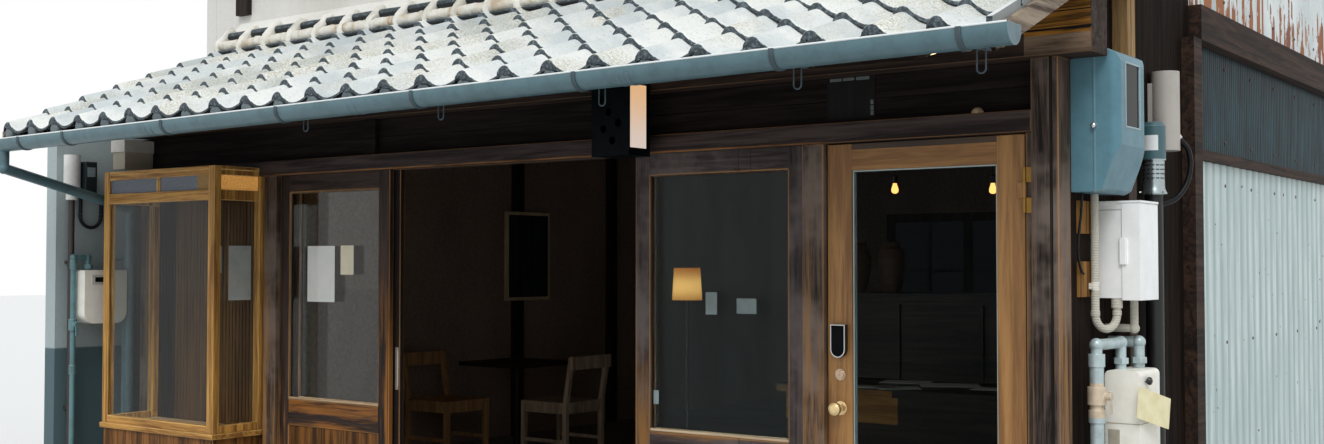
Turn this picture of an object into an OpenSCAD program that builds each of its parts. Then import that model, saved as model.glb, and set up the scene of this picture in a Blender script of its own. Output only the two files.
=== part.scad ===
// Two-storey wooden townhouse in a row, with an open shop front and a tiled pent roof.
// X runs along the frontage, Y into the house, Z up. The sashes stand in the plane y = 0.

/* [Plan] */
// Clear width between the faces of the two side walls
frontage_w = 6270; // [5800:10:6800]
// Depth from the sash plane to the rear face
house_d = 7900; // [6600:10:9600]
// Thickness of the side, rear and upper walls
wall_t = 110; // [90:1:140]
// How far the upper front wall stands behind the sash plane
upper_setback = 660; // [600:10:760]

/* [Heights] */
// Top of the shop floor
floor_h = 40; // [30:1:80]
// Underside of the lintel over the sashes and the door
head_z = 2015; // [1950:1:2120]
// Height of the lintel
lintel_h = 85; // [70:1:110]
// Height of the frieze boards above the lintel
frieze_h = 200; // [160:1:260]
// Rise from the top of the frieze to the upper floor boards
upper_rise = 490; // [440:1:600]
// Height of the upper storey's walls over its floor
upper_storey_h = 1660; // [1500:10:2200]

/* [Posts] */
// Width of the right corner post
corner_post_w = 110; // [90:1:130]
// Depth of the right corner post
corner_post_d = 120; // [100:1:140]
// Width of the post between the show window and the sashes
shop_post_w = 108; // [90:1:130]
// Width of the post between the sashes and the door
door_post_w = 105; // [90:1:130]
// Depth of the posts that the sashes close against
post_d = 120; // [110:1:140]
// Width of the post to the left of the show window
left_post_w = 110; // [90:1:130]
// Width of the meter recess between the left wall and that post
recess_w = 193; // [180:1:220]

/* [Sliding sashes] */
// How far one closed sash reaches behind the next
sash_lap = 74; // [50:1:85]
// Thickness of one sash
sash_t = 30; // [26:1:34]
// Distance between the two tracks
track_pitch = 42; // [40:1:48]
// Width of the sash stiles
stile_w = 85; // [60:1:100]
// Height of the top rail
top_rail_h = 100; // [70:1:130]
// Underside of the glass
sash_glass_z = 720; // [600:1:800]
// Height of the rail under the glass
mid_rail_h = 150; // [100:1:180]
// Height of the bottom rail
foot_rail_h = 120; // [80:1:160]
// Thickness of the panes
glass_t = 5; // [3:1:8]
// Air left beside a sash or the door
move_gap = 5; // [5:1:8]

/* [Entry door] */
// Width of the door leaf
door_w = 887; // [860:1:892]
// Thickness of the door leaf
door_t = 40; // [34:1:45]
// Width of the door stiles
door_stile_w = 117; // [90:1:140]
// Height of the door's top rail
door_top_rail_h = 112; // [90:1:140]
// Height of the door's bottom rail
door_foot_rail_h = 190; // [140:1:260]
// Width of the jamb on the hinge side
jamb_w = 40; // [30:1:45]
// Radius of the hinge pins
hinge_pin_r = 4; // [3:0.5:5]
// Outer radius of the hinge knuckles
hinge_r = 8; // [7:0.5:8.5]
// Length of one hinge
hinge_l = 180; // [100:1:185]
// Air between the closed leaf and the post it latches against
latch_gap = 8; // [5:1:12]
// Height of the door knob above the ground
knob_z = 888; // [850:1:950]

/* [Show window] */
// Width of the show window
show_w = 1110; // [1000:1:1120]
// How far the show window stands out from the sash plane
show_d = 360; // [300:1:420]
// Top of the show window's sill
show_sill_z = 530; // [450:1:600]
// How far the show window's top stands over the underside of the lintel
show_top_up = 50; // [30:1:60]
// Gap between the show window and the next post
show_gap = 22; // [10:1:40]
// Width of its corner posts
show_post_w = 55; // [40:1:65]
// Height of its transom rail
show_transom_h = 61; // [45:1:80]
// Height of the small panes over the transom
show_light_h = 84; // [60:1:100]

/* [Pent roof] */
// Rise of the pent roof for each unit of run
pent_pitch = 0.415; // [0.36:0.005:0.44]
// How far the tiles stop inside the left wall
pent_inset = 275; // [240:5:300]
// How far the tiles stand out over the right wall
pent_verge = 155; // [125:5:185]
// How far the eave stands out from the sash plane
pent_eave = 985; // [820:5:1010]
// Height of the eave beam at its front face
eave_beam_h = 226; // [200:1:260]
// Thickness of the tile bed, measured upright
tile_t = 65; // [50:1:80]
// Thickness of the roof boards, measured upright
deck_t = 15; // [12:1:24]
// Height of the rafters, measured upright
rafter_h = 58; // [45:1:75]
// Width of the rafters
rafter_w = 45; // [36:1:60]
// Distance between rafters
rafter_pitch = 455; // [400:5:480]
// How far the rafter ends stand behind the eave
rafter_end_in = 125; // [90:5:160]

/* [Gutter] */
// Outer radius of the half-round gutter
gutter_r = 55; // [45:1:60]
// Thickness of the gutter
gutter_t = 4; // [3:1:5]
// Height of the gutter's lip over the deck's edge at its right end
gutter_up = 33; // [20:1:40]
// Fall of the gutter from right to left
gutter_fall = 50; // [20:1:60]

/* [Main roof] */
// Rise of the main roof for each unit of run
main_pitch = 0.45; // [0.40:0.01:0.50]
// How far the main eaves stand out from the walls
main_eave = 600; // [500:10:700]
// How far the main roof stands out over the side walls
main_verge = 160; // [120:10:220]
// Height of the ridge course
ridge_h = 260; // [200:10:320]

/* [Hidden] */
$fn = 48;
seat = 0.3;
slab_front_y = -60;
wall_x0 = -frontage_w / 2;
wall_x1 = frontage_w / 2;
post_front_y = -30;
post_back_y = post_front_y + post_d;
lintel_front_y = -50;
lintel_d = 140;
corner_x = wall_x1 - corner_post_w;
jamb_x = corner_x - jamb_w;
door_x1 = jamb_x - move_gap;
door_x0 = door_x1 - door_w;
door_open_x = door_x0 - latch_gap;
show_x = wall_x0 + recess_w + left_post_w;
show_x1 = show_x + show_w;
show_top_z = head_z + show_top_up;
sash_open_x = show_x1 + show_gap + shop_post_w;
sash_open_w = door_open_x - door_post_w - sash_open_x;
sash_w = (sash_open_w + 2 * sash_lap) / 4;
threshold_h = 35;
threshold_z = floor_h + threshold_h;
rail_h = 9;
rail_w = 6;
sash_foot_z = threshold_z + move_gap;
sash_head_z = head_z + 10;
groove_side = 3;
lintel_top_z = head_z + lintel_h;
keta_z = lintel_top_z + frieze_h;
upper_floor_z = keta_z + upper_rise;
main_plate_z = upper_floor_z + upper_storey_h;
beam_front_y = -100;
beam_back_y = 70;
beam_tail = 150;
wing_front_y = -500;
frieze_y = [20, 40];
rear_y = house_d - wall_t;
upper_y = upper_setback;
mid_y = (upper_y + house_d) / 2;
pane_y = 12;
pent_x0 = wall_x0 + pent_inset;
pent_x1 = wall_x1 + pent_verge;
pent_deck_z = keta_z + eave_beam_h + rafter_h + deck_t - pent_pitch * (pent_eave + beam_front_y);

// Height of the pent roof's deck top at a place y
function pent_z(y) = pent_deck_z + (y + pent_eave) * pent_pitch;
// Height of the pent rafters' underside at a place y
function rafter_foot_z(y) = pent_z(y) - deck_t - rafter_h;
// Height of the main roof's rafter underside at a place y
function main_z(y) = main_plate_z + (y <= mid_y ? y - upper_y : house_d - y) * main_pitch;

module block(xs, ys, zs)
    translate([xs[0], ys[0], zs[0]]) cube([xs[1] - xs[0], ys[1] - ys[0], zs[1] - zs[0]]);

// A side profile in the Y and Z directions, run along X
module run_x(x0, x1, points)
    translate([x0, 0, 0]) rotate([90, 0, 90]) linear_extrude(x1 - x0) polygon(points);

// A slab on the pent roof's slope between two heights over the deck's top
module pent_slab(x0, x1, y0, y1, low, high)
    run_x(x0, x1, [[y0, pent_z(y0) + low], [y1, pent_z(y1) + low],
        [y1, pent_z(y1) + high], [y0, pent_z(y0) + high]]);

// A slab on one slope of the main roof between two heights over the rafters' underside
module main_slab(x0, x1, y0, y1, low, high)
    run_x(x0, x1, [[y0, main_z(y0) + low], [y1, main_z(y1) + low],
        [y1, main_z(y1) + high], [y0, main_z(y0) + high]]);

module floor_slab() color("darkgray")
    block([wall_x0, corner_x], [slab_front_y, rear_y], [0, floor_h]);

module door_threshold() color("sienna") difference() {
    union() {
        block([sash_open_x, corner_x], [post_front_y - 20, post_back_y], [floor_h, threshold_z]);
        for (track = [0, 1])
            block([sash_open_x + 1, sash_open_x + sash_open_w - 1],
                [track_y(track) - rail_w / 2, track_y(track) + rail_w / 2],
                [threshold_z - 1, threshold_z + rail_h]);
    }
    block([sash_open_x + sash_open_w, door_open_x], [post_front_y, post_back_y + 1],
        [floor_h - 1, threshold_z + 1]);
}

// Middle of a sash track: 0 is the street side, 1 is the room side
function track_y(track) = sash_t / 2 + track * track_pitch;

// A gable wall under the main roof
module gable_wall(x0, x1)
    run_x(x0, x1, [[upper_y, 0], [house_d, 0], [house_d, main_plate_z],
        [mid_y, main_z(mid_y)], [upper_y, main_plate_z]]);

module left_party_wall() color("lightgray") gable_wall(wall_x0 - wall_t, wall_x0);

module left_wing_wall() color("slategray")
    run_x(wall_x0 - wall_t, wall_x0, [[wing_front_y, 0], [upper_y, 0],
        [upper_y, pent_z(upper_y) - 40], [wing_front_y, pent_z(wing_front_y) - 40]]);

module right_side_wall() color("peru") {
    gable_wall(corner_x, wall_x1 - board_t);
    run_x(corner_x, wall_x1 - board_t, [[beam_back_y, 0], [upper_y, 0],
        [upper_y, rafter_foot_z(upper_y)], [beam_back_y, rafter_foot_z(beam_back_y)]]);
}

board_t = 20;
boards_end_y = 1630;
sheet_lap_z = 2032;
sheet_rail_z = keta_z + 270;
sheet_rail_h = 170;
lath_h = 50;
clamp_t = 13;
sheet_pitch = 76;
sheet_wave = 9;
sheet_t = 3;

module side_boards() color("sienna") {
    run_x(wall_x1 - board_t, wall_x1, [[beam_back_y, 0], [boards_end_y, 0],
        [boards_end_y, main_plate_z - 60], [upper_y, main_plate_z - 60],
        [upper_y, rafter_foot_z(upper_y)], [beam_back_y, rafter_foot_z(beam_back_y)]]);
    for (zs = [[1370, 1510], [1620, 1750]]) block([wall_x1 - 1, wall_x1 + clamp_t], [130, 320], zs);
}

// A corrugated sheet that stands on the side wall
module sheet(y0, y1, z0, z1) {
    waves = floor((y1 - y0) / sheet_pitch);
    outer = [for (i = [0 : waves * 4]) [wave_x(i), y0 + i * sheet_pitch / 4]];
    inner = [for (i = [waves * 4 : -1 : 0]) [wave_x(i) + sheet_t, y0 + i * sheet_pitch / 4]];
    translate([wall_x1 - board_t, 0, z0]) linear_extrude(z1 - z0) polygon(concat(outer, inner));
}
function wave_x(i) = (i % 4 < 2) ? 0 : sheet_wave;

module corrugated_sheets() color("lightsteelblue") {
    sheet(boards_end_y, house_d, 100, sheet_lap_z - lath_h / 2);
    sheet(boards_end_y, house_d, sheet_lap_z + lath_h / 2, sheet_rail_z);
    sheet(boards_end_y, house_d, sheet_rail_z + sheet_rail_h, main_plate_z - 60);
}

module sheet_rails() color("saddlebrown") {
    block([wall_x1 - board_t, wall_x1 + 15], [boards_end_y, house_d],
        [sheet_lap_z - lath_h / 2, sheet_lap_z + lath_h / 2]);
    block([wall_x1 - board_t, wall_x1 + 60], [boards_end_y, house_d],
        [sheet_rail_z, sheet_rail_z + sheet_rail_h]);
    block([wall_x1 + seat, wall_x1 + 60], [boards_end_y - 125, boards_end_y - seat], [0, sheet_rail_z]);
}

rear_win_w = 3500;
rear_win_z = [850, head_z];
upper_win_w = 3400;
upper_win_z = [upper_floor_z + 530, upper_floor_z + 1230];

module rear_wall() color("whitesmoke") difference() {
    block([wall_x0, corner_x], [rear_y, house_d], [0, main_plate_z]);
    block([-rear_win_w / 2, rear_win_w / 2], [rear_y - 1, house_d + 1], rear_win_z);
    block([-upper_win_w / 2, upper_win_w / 2], [rear_y - 1, house_d + 1], upper_win_z);
}

module upper_front_wall() color("white") difference() {
    block([wall_x0, corner_x], [upper_y, upper_y + wall_t], [keta_z + 450, main_plate_z]);
    block([-upper_win_w / 2, upper_win_w / 2], [upper_y - 1, upper_y + wall_t + 1], upper_win_z);
}

module upper_girder() color("saddlebrown")
    block([wall_x0, corner_x], [upper_y, upper_y + wall_t], [keta_z + 150, keta_z + 450]);

module front_posts() color("#3a2a20") {
    front_ys = [post_front_y, post_back_y];
    block([show_x - left_post_w, show_x], front_ys, [floor_h, head_z]);
    block([sash_open_x - shop_post_w, sash_open_x], front_ys, [floor_h, head_z]);
    block([door_open_x - door_post_w, door_open_x], front_ys, [floor_h, head_z]);
    block([jamb_x, corner_x], [door_y0, post_back_y], [threshold_z, head_z]);
    block([corner_x, wall_x1], [beam_back_y - corner_post_d, beam_back_y], [0, keta_z]);
}

module upper_posts() color("burlywood") {
    zs = [pent_z(upper_y) + tile_t + 200, main_plate_z - 40];
    block([wall_x1 - 75, wall_x1 + 65], [upper_y - 70, upper_y - seat], zs);
    block([wall_x0 + 265, wall_x0 + 385], [upper_y - 40, upper_y], zs);
    run_x(wall_x1 + seat, wall_x1 + 65, [[upper_y - 100, 0], [upper_y - 5, 0],
        [upper_y - 5, rafter_foot_z(upper_y - 5)], [upper_y - 100, rafter_foot_z(upper_y - 100)]]);
}

module door_lintel() color("#3a2a20") difference() {
    block([wall_x0, corner_x], [lintel_front_y, lintel_front_y + lintel_d], [head_z, lintel_top_z]);
    for (track = [0, 1])
        block([sash_open_x, sash_open_x + sash_open_w],
            [track_y(track) - sash_t / 2 - groove_side, track_y(track) + sash_t / 2 + groove_side],
            [head_z - 1, sash_head_z + move_gap]);
}

strut_x = -810;
strut_w = 90;
module frieze_boards() color("#2b211b") {
    block([wall_x0, corner_x], frieze_y, [lintel_top_z, keta_z]);
    block([strut_x - strut_w / 2, strut_x + strut_w / 2], [-10, frieze_y[0]], [lintel_top_z, keta_z]);
}

module eave_beam() color("#3a2a20")
    run_x(show_x - left_post_w, wall_x1 + beam_tail, [[beam_front_y, keta_z], [beam_back_y, keta_z],
        [beam_back_y, rafter_foot_z(beam_back_y)], [beam_front_y, rafter_foot_z(beam_front_y)]]);

rafter_end_y = rafter_end_in - pent_eave;
end_rafter_x = pent_x1 - 78;
first_rafter = ceil((pent_x0 + 2 * rafter_w) / rafter_pitch - 0.5);
last_rafter = floor((end_rafter_x - 2 * rafter_w) / rafter_pitch - 0.5);
module pent_rafters() color("#5a4030") {
    for (i = [first_rafter : last_rafter]) pent_rafter((i + 0.5) * rafter_pitch);
    pent_rafter(pent_x0 + 30);
    pent_rafter(end_rafter_x);
}
module pent_rafter(x)
    pent_slab(x - rafter_w / 2, x + rafter_w / 2, rafter_end_y, upper_y, -deck_t - rafter_h, -deck_t);

deck_end_y = 55 - pent_eave;
module pent_deck() color("#6b4c35")
    pent_slab(pent_x0, pent_x1, deck_end_y, upper_y, -deck_t, 0);

tile_end_y = upper_y - 40;
module pent_tiles() color("lightslategray")
    pent_slab(pent_x0, pent_x1, -pent_eave, tile_end_y, seat, tile_t);

flashing_y = upper_y - 200;
module pent_flashing() color("gainsboro")
    run_x(pent_x0, pent_x1 - 60, [[tile_end_y + seat, pent_z(tile_end_y) + seat],
        [upper_y - seat, pent_z(upper_y) + seat],
        [upper_y - seat, pent_z(upper_y) + tile_t + 150],
        [upper_y - 60, pent_z(upper_y) + tile_t + 90],
        [flashing_y, pent_z(flashing_y) + tile_t + 30],
        [flashing_y, pent_z(flashing_y) + tile_t + seat],
        [tile_end_y + seat, pent_z(tile_end_y) + tile_t + seat]]);

verge_t = 25;
verge_down = 32;
verge_up = 43;
module pent_verges() color("tan")
    for (x = [pent_x0 - verge_t - seat, pent_x1 + seat])
        pent_slab(x, x + verge_t, -pent_eave, upper_y - 75, -verge_down, verge_up);

gutter_y = -pent_eave - gutter_r - 8;
gutter_x0 = pent_x0 + 50;
gutter_x1 = pent_x1 + 90;
gutter_lip_z = pent_deck_z + gutter_up;
gutter_top = 15;
gutter_tilt = atan(gutter_fall / (gutter_x1 - gutter_x0));

// The height of the gutter's lip at a place x
function lip_z(x) = gutter_lip_z - gutter_fall * (gutter_x1 - x) / (gutter_x1 - gutter_x0);

// A half-round trough along X, with the middle of its curve on the X axis
module trough(x0, x1, r_out, r_in, end) difference() {
    translate([x0, 0, 0]) rotate([0, 90, 0]) cylinder(r = r_out, h = x1 - x0);
    translate([x0 + end, 0, 0]) rotate([0, 90, 0]) cylinder(r = r_in, h = x1 - x0 - 2 * end);
    block([x0 - 1, x1 + 1], [-2 * r_out, 2 * r_out], [gutter_top, 2 * r_out]);
}

// The gutter is butt-jointed from sections of one length
gutter_sections = 4;
section_l = (gutter_x1 - gutter_x0) / gutter_sections;
module gutter() color("#5f7f8c") difference() {
    translate([gutter_x0, gutter_y, lip_z(gutter_x0) - gutter_top]) rotate([0, -gutter_tilt, 0])
        difference() {
            trough(0, gutter_x1 - gutter_x0, gutter_r, gutter_r - gutter_t, gutter_t);
            for (i = [1 : gutter_sections - 1]) translate([i * section_l, 0, 0])
                block([0, seat], [-2 * gutter_r, 2 * gutter_r], [-2 * gutter_r, 2 * gutter_r]);
        }
    translate([outlet_x, gutter_y, outlet_z - gutter_r - 10]) cylinder(r = outlet_r, h = gutter_r);
}

bracket_w = 20;
bracket_t = 5;
tail_z = rafter_foot_z(rafter_end_y) + 2;
tail_t = 8;
hook_r = 16;
hook_drop = 65;
hook_wire_r = 3;
bracket_places = concat([for (i = [first_rafter : last_rafter]) if (i == first_rafter || i % 2 != 0)
    (i + 0.5) * rafter_pitch], [end_rafter_x]);
module gutter_brackets() color("#23272a")
    for (x = bracket_places) gutter_bracket(x, x > bracket_places[2]);

// A strap round the gutter, a tail back to a rafter's end and a wire hook under the tail
module gutter_bracket(x, hooked) {
    z = lip_z(x) - gutter_top;
    strap_r = gutter_r + bracket_t;
    below = max(z - tail_z - tail_t / 2, 0);
    tail_y = gutter_y + sqrt(pow(strap_r - 1.5, 2) - below * below);
    translate([x, gutter_y, z]) trough(-bracket_w / 2, bracket_w / 2, strap_r, gutter_r + seat, -1);
    block([x - bracket_w / 2, x + bracket_w / 2], [tail_y, rafter_end_y - seat], [tail_z, tail_z + tail_t]);
    if (hooked) translate([x, (gutter_y + strap_r + rafter_end_y) / 2, tail_z - hook_drop]) {
        rotate([90, 0, 0]) rotate([0, 0, 180]) rotate_extrude(angle = 180)
            translate([hook_r, 0]) circle(hook_wire_r, $fn = 24);
        for (side = [-1, 1])
            translate([side * hook_r, 0, 0]) cylinder(r = hook_wire_r, h = hook_drop + 1, $fn = 24);
        block([-hook_r, hook_r], [-hook_wire_r, hook_wire_r], [hook_drop - 4, hook_drop + 1]);
    }
}

pipe_r = 30;
outlet_x = gutter_x0 + 60;
outlet_z = lip_z(outlet_x) - gutter_top;
outlet_drop = 150;
outlet_r = 22;
saddle_side = 60;
pipe_foot = [wall_x0 + 165, slab_front_y - pipe_r - 5, head_z - 165];
module downpipe() color("#4f6d79") difference() {
    union() {
        bend = [outlet_x, gutter_y, outlet_z - outlet_drop];
        translate(bend) cylinder(r = pipe_r, h = outlet_drop - 30);
        translate(bend) sphere(pipe_r + 3);
        slope_pipe(bend, pipe_foot, pipe_r);
        translate(pipe_foot) sphere(pipe_r + 3);
        translate([pipe_foot.x, pipe_foot.y, 0]) cylinder(r = pipe_r, h = pipe_foot.z);
    }
    translate([outlet_x - saddle_side, gutter_y, lip_z(outlet_x - saddle_side) - gutter_top])
        rotate([0, 90 - gutter_tilt, 0]) cylinder(r = gutter_r + seat, h = 2 * saddle_side);
    translate([outlet_x, gutter_y, outlet_z - outlet_drop + 40]) cylinder(r = pipe_r - 4, h = outlet_drop);
}

// A straight round bar between two points
module slope_pipe(a, b, r) {
    d = b - a;
    length = norm(d);
    translate(a) rotate([0, acos(d.z / length), atan2(d.y, d.x)]) cylinder(r = r, h = length);
}

main_x0 = wall_x0 - wall_t;
main_x1 = wall_x1 + main_verge;
barge_t = 30;
barge_down = 100;
main_front_y = upper_y - main_eave;
main_back_y = house_d + main_eave;
ridge_side = 90;
tile_over = 40;
first_main_rafter = ceil((main_x0 + rafter_w) / rafter_pitch - 0.5);
last_main_rafter = floor((main_x1 - barge_t - rafter_w) / rafter_pitch - 0.5);
module front_roof_deck() color("#6b4c35") {
    main_slab(main_x0, main_x1, main_front_y, mid_y - seat, rafter_h, rafter_h + deck_t);
    main_slab(main_x1 - barge_t, main_x1, main_front_y, mid_y - seat, -barge_down, rafter_h + 1);
    for (i = [first_main_rafter : last_main_rafter])
        main_slab((i + 0.5) * rafter_pitch - rafter_w / 2, (i + 0.5) * rafter_pitch + rafter_w / 2,
            main_front_y + 30, mid_y - seat, 0, rafter_h + 1);
}

module rear_roof_deck() color("#6b4c35") {
    main_slab(main_x0, main_x1, mid_y, main_back_y, rafter_h, rafter_h + deck_t);
    main_slab(main_x1 - barge_t, main_x1, mid_y, main_back_y, -barge_down, rafter_h + 1);
    for (i = [first_main_rafter : last_main_rafter])
        main_slab((i + 0.5) * rafter_pitch - rafter_w / 2, (i + 0.5) * rafter_pitch + rafter_w / 2,
            mid_y, main_back_y - 30, 0, rafter_h + 1);
}

module front_roof_tiles() color("lightslategray")
    main_slab(main_x0, main_x1 + 20, main_front_y - tile_over, mid_y - ridge_side,
        rafter_h + deck_t, rafter_h + deck_t + tile_t);

module rear_roof_tiles() color("lightslategray")
    main_slab(main_x0, main_x1 + 20, mid_y + ridge_side, main_back_y + tile_over,
        rafter_h + deck_t, rafter_h + deck_t + tile_t);

module roof_ridge() color("slategray") {
    base = main_z(mid_y) + rafter_h + deck_t + seat;
    side = ridge_side - seat;
    run_x(main_x0, main_x1 + 20, [[mid_y - side, base - ridge_side * main_pitch], [mid_y, base],
        [mid_y + side, base - ridge_side * main_pitch], [mid_y + side, base + ridge_h - 70],
        [mid_y + 55, base + ridge_h - 20], [mid_y, base + ridge_h], [mid_y - 55, base + ridge_h - 20],
        [mid_y - side, base + ridge_h - 70]]);
}

module upper_floor() color("peru")
    block([wall_x0, corner_x], [upper_y + wall_t, rear_y], [upper_floor_z - 40, upper_floor_z]);

// A timber window frame with sashes side by side, standing in a wall opening
module window_frame(w, zs, y0, sashes) {
    edge = 50;
    sash_bar = 40;
    pitch = (w - 2 * edge) / sashes;
    difference() {
        block([-w / 2, w / 2], [y0, y0 + 60], zs);
        for (i = [0 : sashes - 1])
            block([-w / 2 + edge + i * pitch + sash_bar, -w / 2 + edge + (i + 1) * pitch - sash_bar],
                [y0 - 1, y0 + 61], [zs[0] + edge + sash_bar, zs[1] - edge - sash_bar]);
    }
}

module upper_window() color("#3a2a20") window_frame(upper_win_w, upper_win_z, upper_y + 30, 4);

module rear_windows() color("#3a2a20") {
    window_frame(rear_win_w, rear_win_z, rear_y + 20, 4);
    window_frame(upper_win_w, upper_win_z, rear_y + 20, 4);
}

// Panes that fill the lights of a timber window frame
module window_panes(w, zs, y0, sashes) {
    edge = 50;
    sash_bar = 40;
    pitch = (w - 2 * edge) / sashes;
    for (i = [0 : sashes - 1])
        block([-w / 2 + edge + i * pitch + sash_bar, -w / 2 + edge + (i + 1) * pitch - sash_bar],
            [y0 + 28, y0 + 28 + glass_t], [zs[0] + edge + sash_bar, zs[1] - edge - sash_bar]);
}

module window_glass() color("lightblue", 0.4) {
    window_panes(upper_win_w, upper_win_z, upper_y + 30, 4);
    window_panes(rear_win_w, rear_win_z, rear_y + 20, 4);
    window_panes(upper_win_w, upper_win_z, rear_y + 20, 4);
}

show_sill_h = 30;
show_rail_z = show_sill_z + 45;
show_post_d = 45;
show_head_h = 52;
show_head_z = show_top_z - show_head_h;
show_transom_z = show_head_z - show_light_h - show_transom_h;

module show_base() color("#6b4a2c") {
    sill_zs = [show_sill_z - show_sill_h, show_sill_z];
    block([show_x + 10, show_x1 - 10], [-show_d + 10, slab_front_y - seat], [0, sill_zs[0]]);
    block([show_x - 10, show_x1 + 10], [-show_d - 10, post_front_y - seat], sill_zs);
    block([show_x + seat, show_x1], [-show_d, -seat], sill_zs);
}

module show_frame() color("#8a6234") {
    for (x = [show_x, show_x1 - show_post_w], y = [-show_d, -show_post_d])
        block([x, x + show_post_w], [y, y + show_post_d - (y > -show_d ? seat : 0)],
            [show_sill_z, y > -show_d ? head_z - seat : show_top_z]);
    for (zs = [[show_sill_z, show_rail_z], [show_transom_z, show_transom_z + show_transom_h],
            [show_head_z, show_top_z]]) {
        back_y = zs[1] > head_z ? lintel_front_y - seat : -seat;
        block([show_x + 5, show_x1 - 5], [-show_d + 2, -show_d + show_post_d - 5], zs);
        block([show_x + 5, show_x + show_post_w - 10], [-show_d + 5, back_y], zs);
        block([show_x1 - show_post_w + 10, show_x1 - 5], [-show_d + 5, back_y], zs);
    }
    block([(show_x + show_x1) / 2 - 15, (show_x + show_x1) / 2 + 15], [-show_d + 5, -show_d + 35],
        [show_transom_z, show_head_z + 1]);
    block([show_x, show_x1], [-show_d, lintel_front_y - seat], [show_top_z - 20, show_top_z]);
}

module show_glass() color("lightblue", 0.4)
    for (zs = [[show_rail_z, show_transom_z], [show_transom_z + show_transom_h, show_head_z]]) {
        if (zs[0] == show_rail_z)
            block([show_x + show_post_w, show_x1 - show_post_w],
                [-show_d + pane_y, -show_d + pane_y + glass_t], zs);
        else
            for (s = [0, 1])
                block([s == 0 ? show_x + show_post_w : (show_x + show_x1) / 2 + 15,
                    s == 0 ? (show_x + show_x1) / 2 - 15 : show_x1 - show_post_w],
                    [-show_d + pane_y, -show_d + pane_y + glass_t], zs);
        for (x = [show_x + 20, show_x1 - 20 - glass_t])
            block([x, x + glass_t], [-show_d + show_post_d, -show_post_d], zs);
    }

module show_back() color("#7a5633") {
    block([show_x, sash_open_x - shop_post_w], [0, 20], [show_sill_z - show_sill_h, head_z]);
    block([show_x, sash_open_x - shop_post_w], [0, 20], [floor_h, show_sill_z - show_sill_h - seat]);
    block([wall_x0, show_x - left_post_w], frieze_y, [floor_h, head_z]);
}

door_y0 = -5;
door_foot_z = threshold_z + move_gap;
door_head_z = head_z - move_gap;
pin_x = jamb_x - move_gap / 2;
pin_y = door_y0 - hinge_r - 1;
hinge_zs = [300, 1700];
knuckle_l = hinge_l / 3;
pin_fit = 0.08;

module entry_door() color("#9a6a35") difference() {
    union() {
        block([door_x0, door_x1], [door_y0, door_y0 + door_t], [door_foot_z, door_head_z]);
        for (z = hinge_zs) {
            translate([pin_x, pin_y, z + knuckle_l + 0.5]) cylinder(r = hinge_r, h = knuckle_l - 1);
            block([pin_x - 30, pin_x], [pin_y, door_y0 + 1], [z + knuckle_l + 0.5, z + 2 * knuckle_l - 0.5]);
        }
    }
    block([door_x0 + door_stile_w, door_x1 - door_stile_w], [door_y0 - 1, door_y0 + door_t + 1],
        [door_foot_z + door_foot_rail_h, door_head_z - door_top_rail_h]);
    for (z = hinge_zs)
        translate([pin_x, pin_y, z]) cylinder(r = hinge_pin_r + pin_fit, h = hinge_l);
}

module entry_glass() color("lightblue", 0.4)
    block([door_x0 + door_stile_w, door_x1 - door_stile_w],
        [door_y0 + door_t / 2 - glass_t / 2, door_y0 + door_t / 2 + glass_t / 2],
        [door_foot_z + door_foot_rail_h, door_head_z - door_top_rail_h]);

module door_hinges() color("goldenrod") for (z = hinge_zs) {
    translate([pin_x, pin_y, z]) cylinder(r = hinge_pin_r, h = hinge_l);
    for (k = [0, 2]) {
        translate([pin_x, pin_y, z + k * knuckle_l]) cylinder(r = hinge_r, h = knuckle_l);
        block([pin_x, pin_x + 30], [pin_y, door_y0], [z + k * knuckle_l, z + (k + 1) * knuckle_l]);
    }
}

knob_x = door_x0 + 60;
bolt_z = knob_z + 142;
pad_z = knob_z + 285;
pad_w = 70;
pad_h = 140;
pad_t = 25;

// A round knob on its rose, standing out along Z
module knob() rotate_extrude()
    polygon([[0, 0], [30, 0], [30, 4], [12, 8], [11, 26], [24, 36], [29, 48], [27, 60], [16, 66], [0, 67]]);

module door_lock() color("gold") {
    translate([knob_x, door_y0, knob_z]) rotate([90, 0, 0]) knob();
    translate([knob_x, door_y0 + door_t, knob_z]) rotate([-90, 0, 0]) knob();
    translate([knob_x, door_y0, bolt_z]) rotate([90, 0, 0]) difference() {
        union() {
            cylinder(r = 25, h = 5);
            cylinder(r = 19, h = 13);
        }
        translate([-1.5, -6, 9]) cube([3, 12, 6]);
    }
    translate([knob_x, door_y0, pad_z]) rotate([90, 0, 0]) linear_extrude(pad_t) {
        translate([0, -pad_h / 2 + pad_w / 2]) circle(pad_w / 2);
        translate([-pad_w / 2, -pad_h / 2 + pad_w / 2]) square([pad_w, pad_h - pad_w / 2]);
    }
}

// One sliding sash: stiles, rails and a boarded foot, with grooves for the rail under it
module sash(x, track) {
    y = track_y(track);
    foot = sash_foot_z;
    difference() {
        block([x, x + sash_w], [y - sash_t / 2, y + sash_t / 2], [foot, sash_head_z]);
        block([x + stile_w, x + sash_w - stile_w], [y - sash_t / 2 - 1, y + sash_t / 2 + 1],
            [sash_glass_z, head_z - top_rail_h]);
        for (side = [-1, 1])
            block([x + stile_w, x + sash_w - stile_w],
                side < 0 ? [y - sash_t / 2 - 1, y - 6] : [y + 6, y + sash_t / 2 + 1],
                [foot + foot_rail_h, sash_glass_z - mid_rail_h]);
        block([x - 1, x + sash_w + 1], [y - rail_w / 2 - 2, y + rail_w / 2 + 2],
            [foot - 1, threshold_z + rail_h + 0.4]);
    }
}

module sash_pane(x, track)
    block([x + stile_w, x + sash_w - stile_w],
        [track_y(track) - glass_t / 2, track_y(track) + glass_t / 2], [sash_glass_z, head_z - top_rail_h]);

left_outer_x = sash_open_x + move_gap;
left_inner_x = left_outer_x + 40;
right_x = sash_open_x + sash_open_w - move_gap - sash_w;

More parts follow.
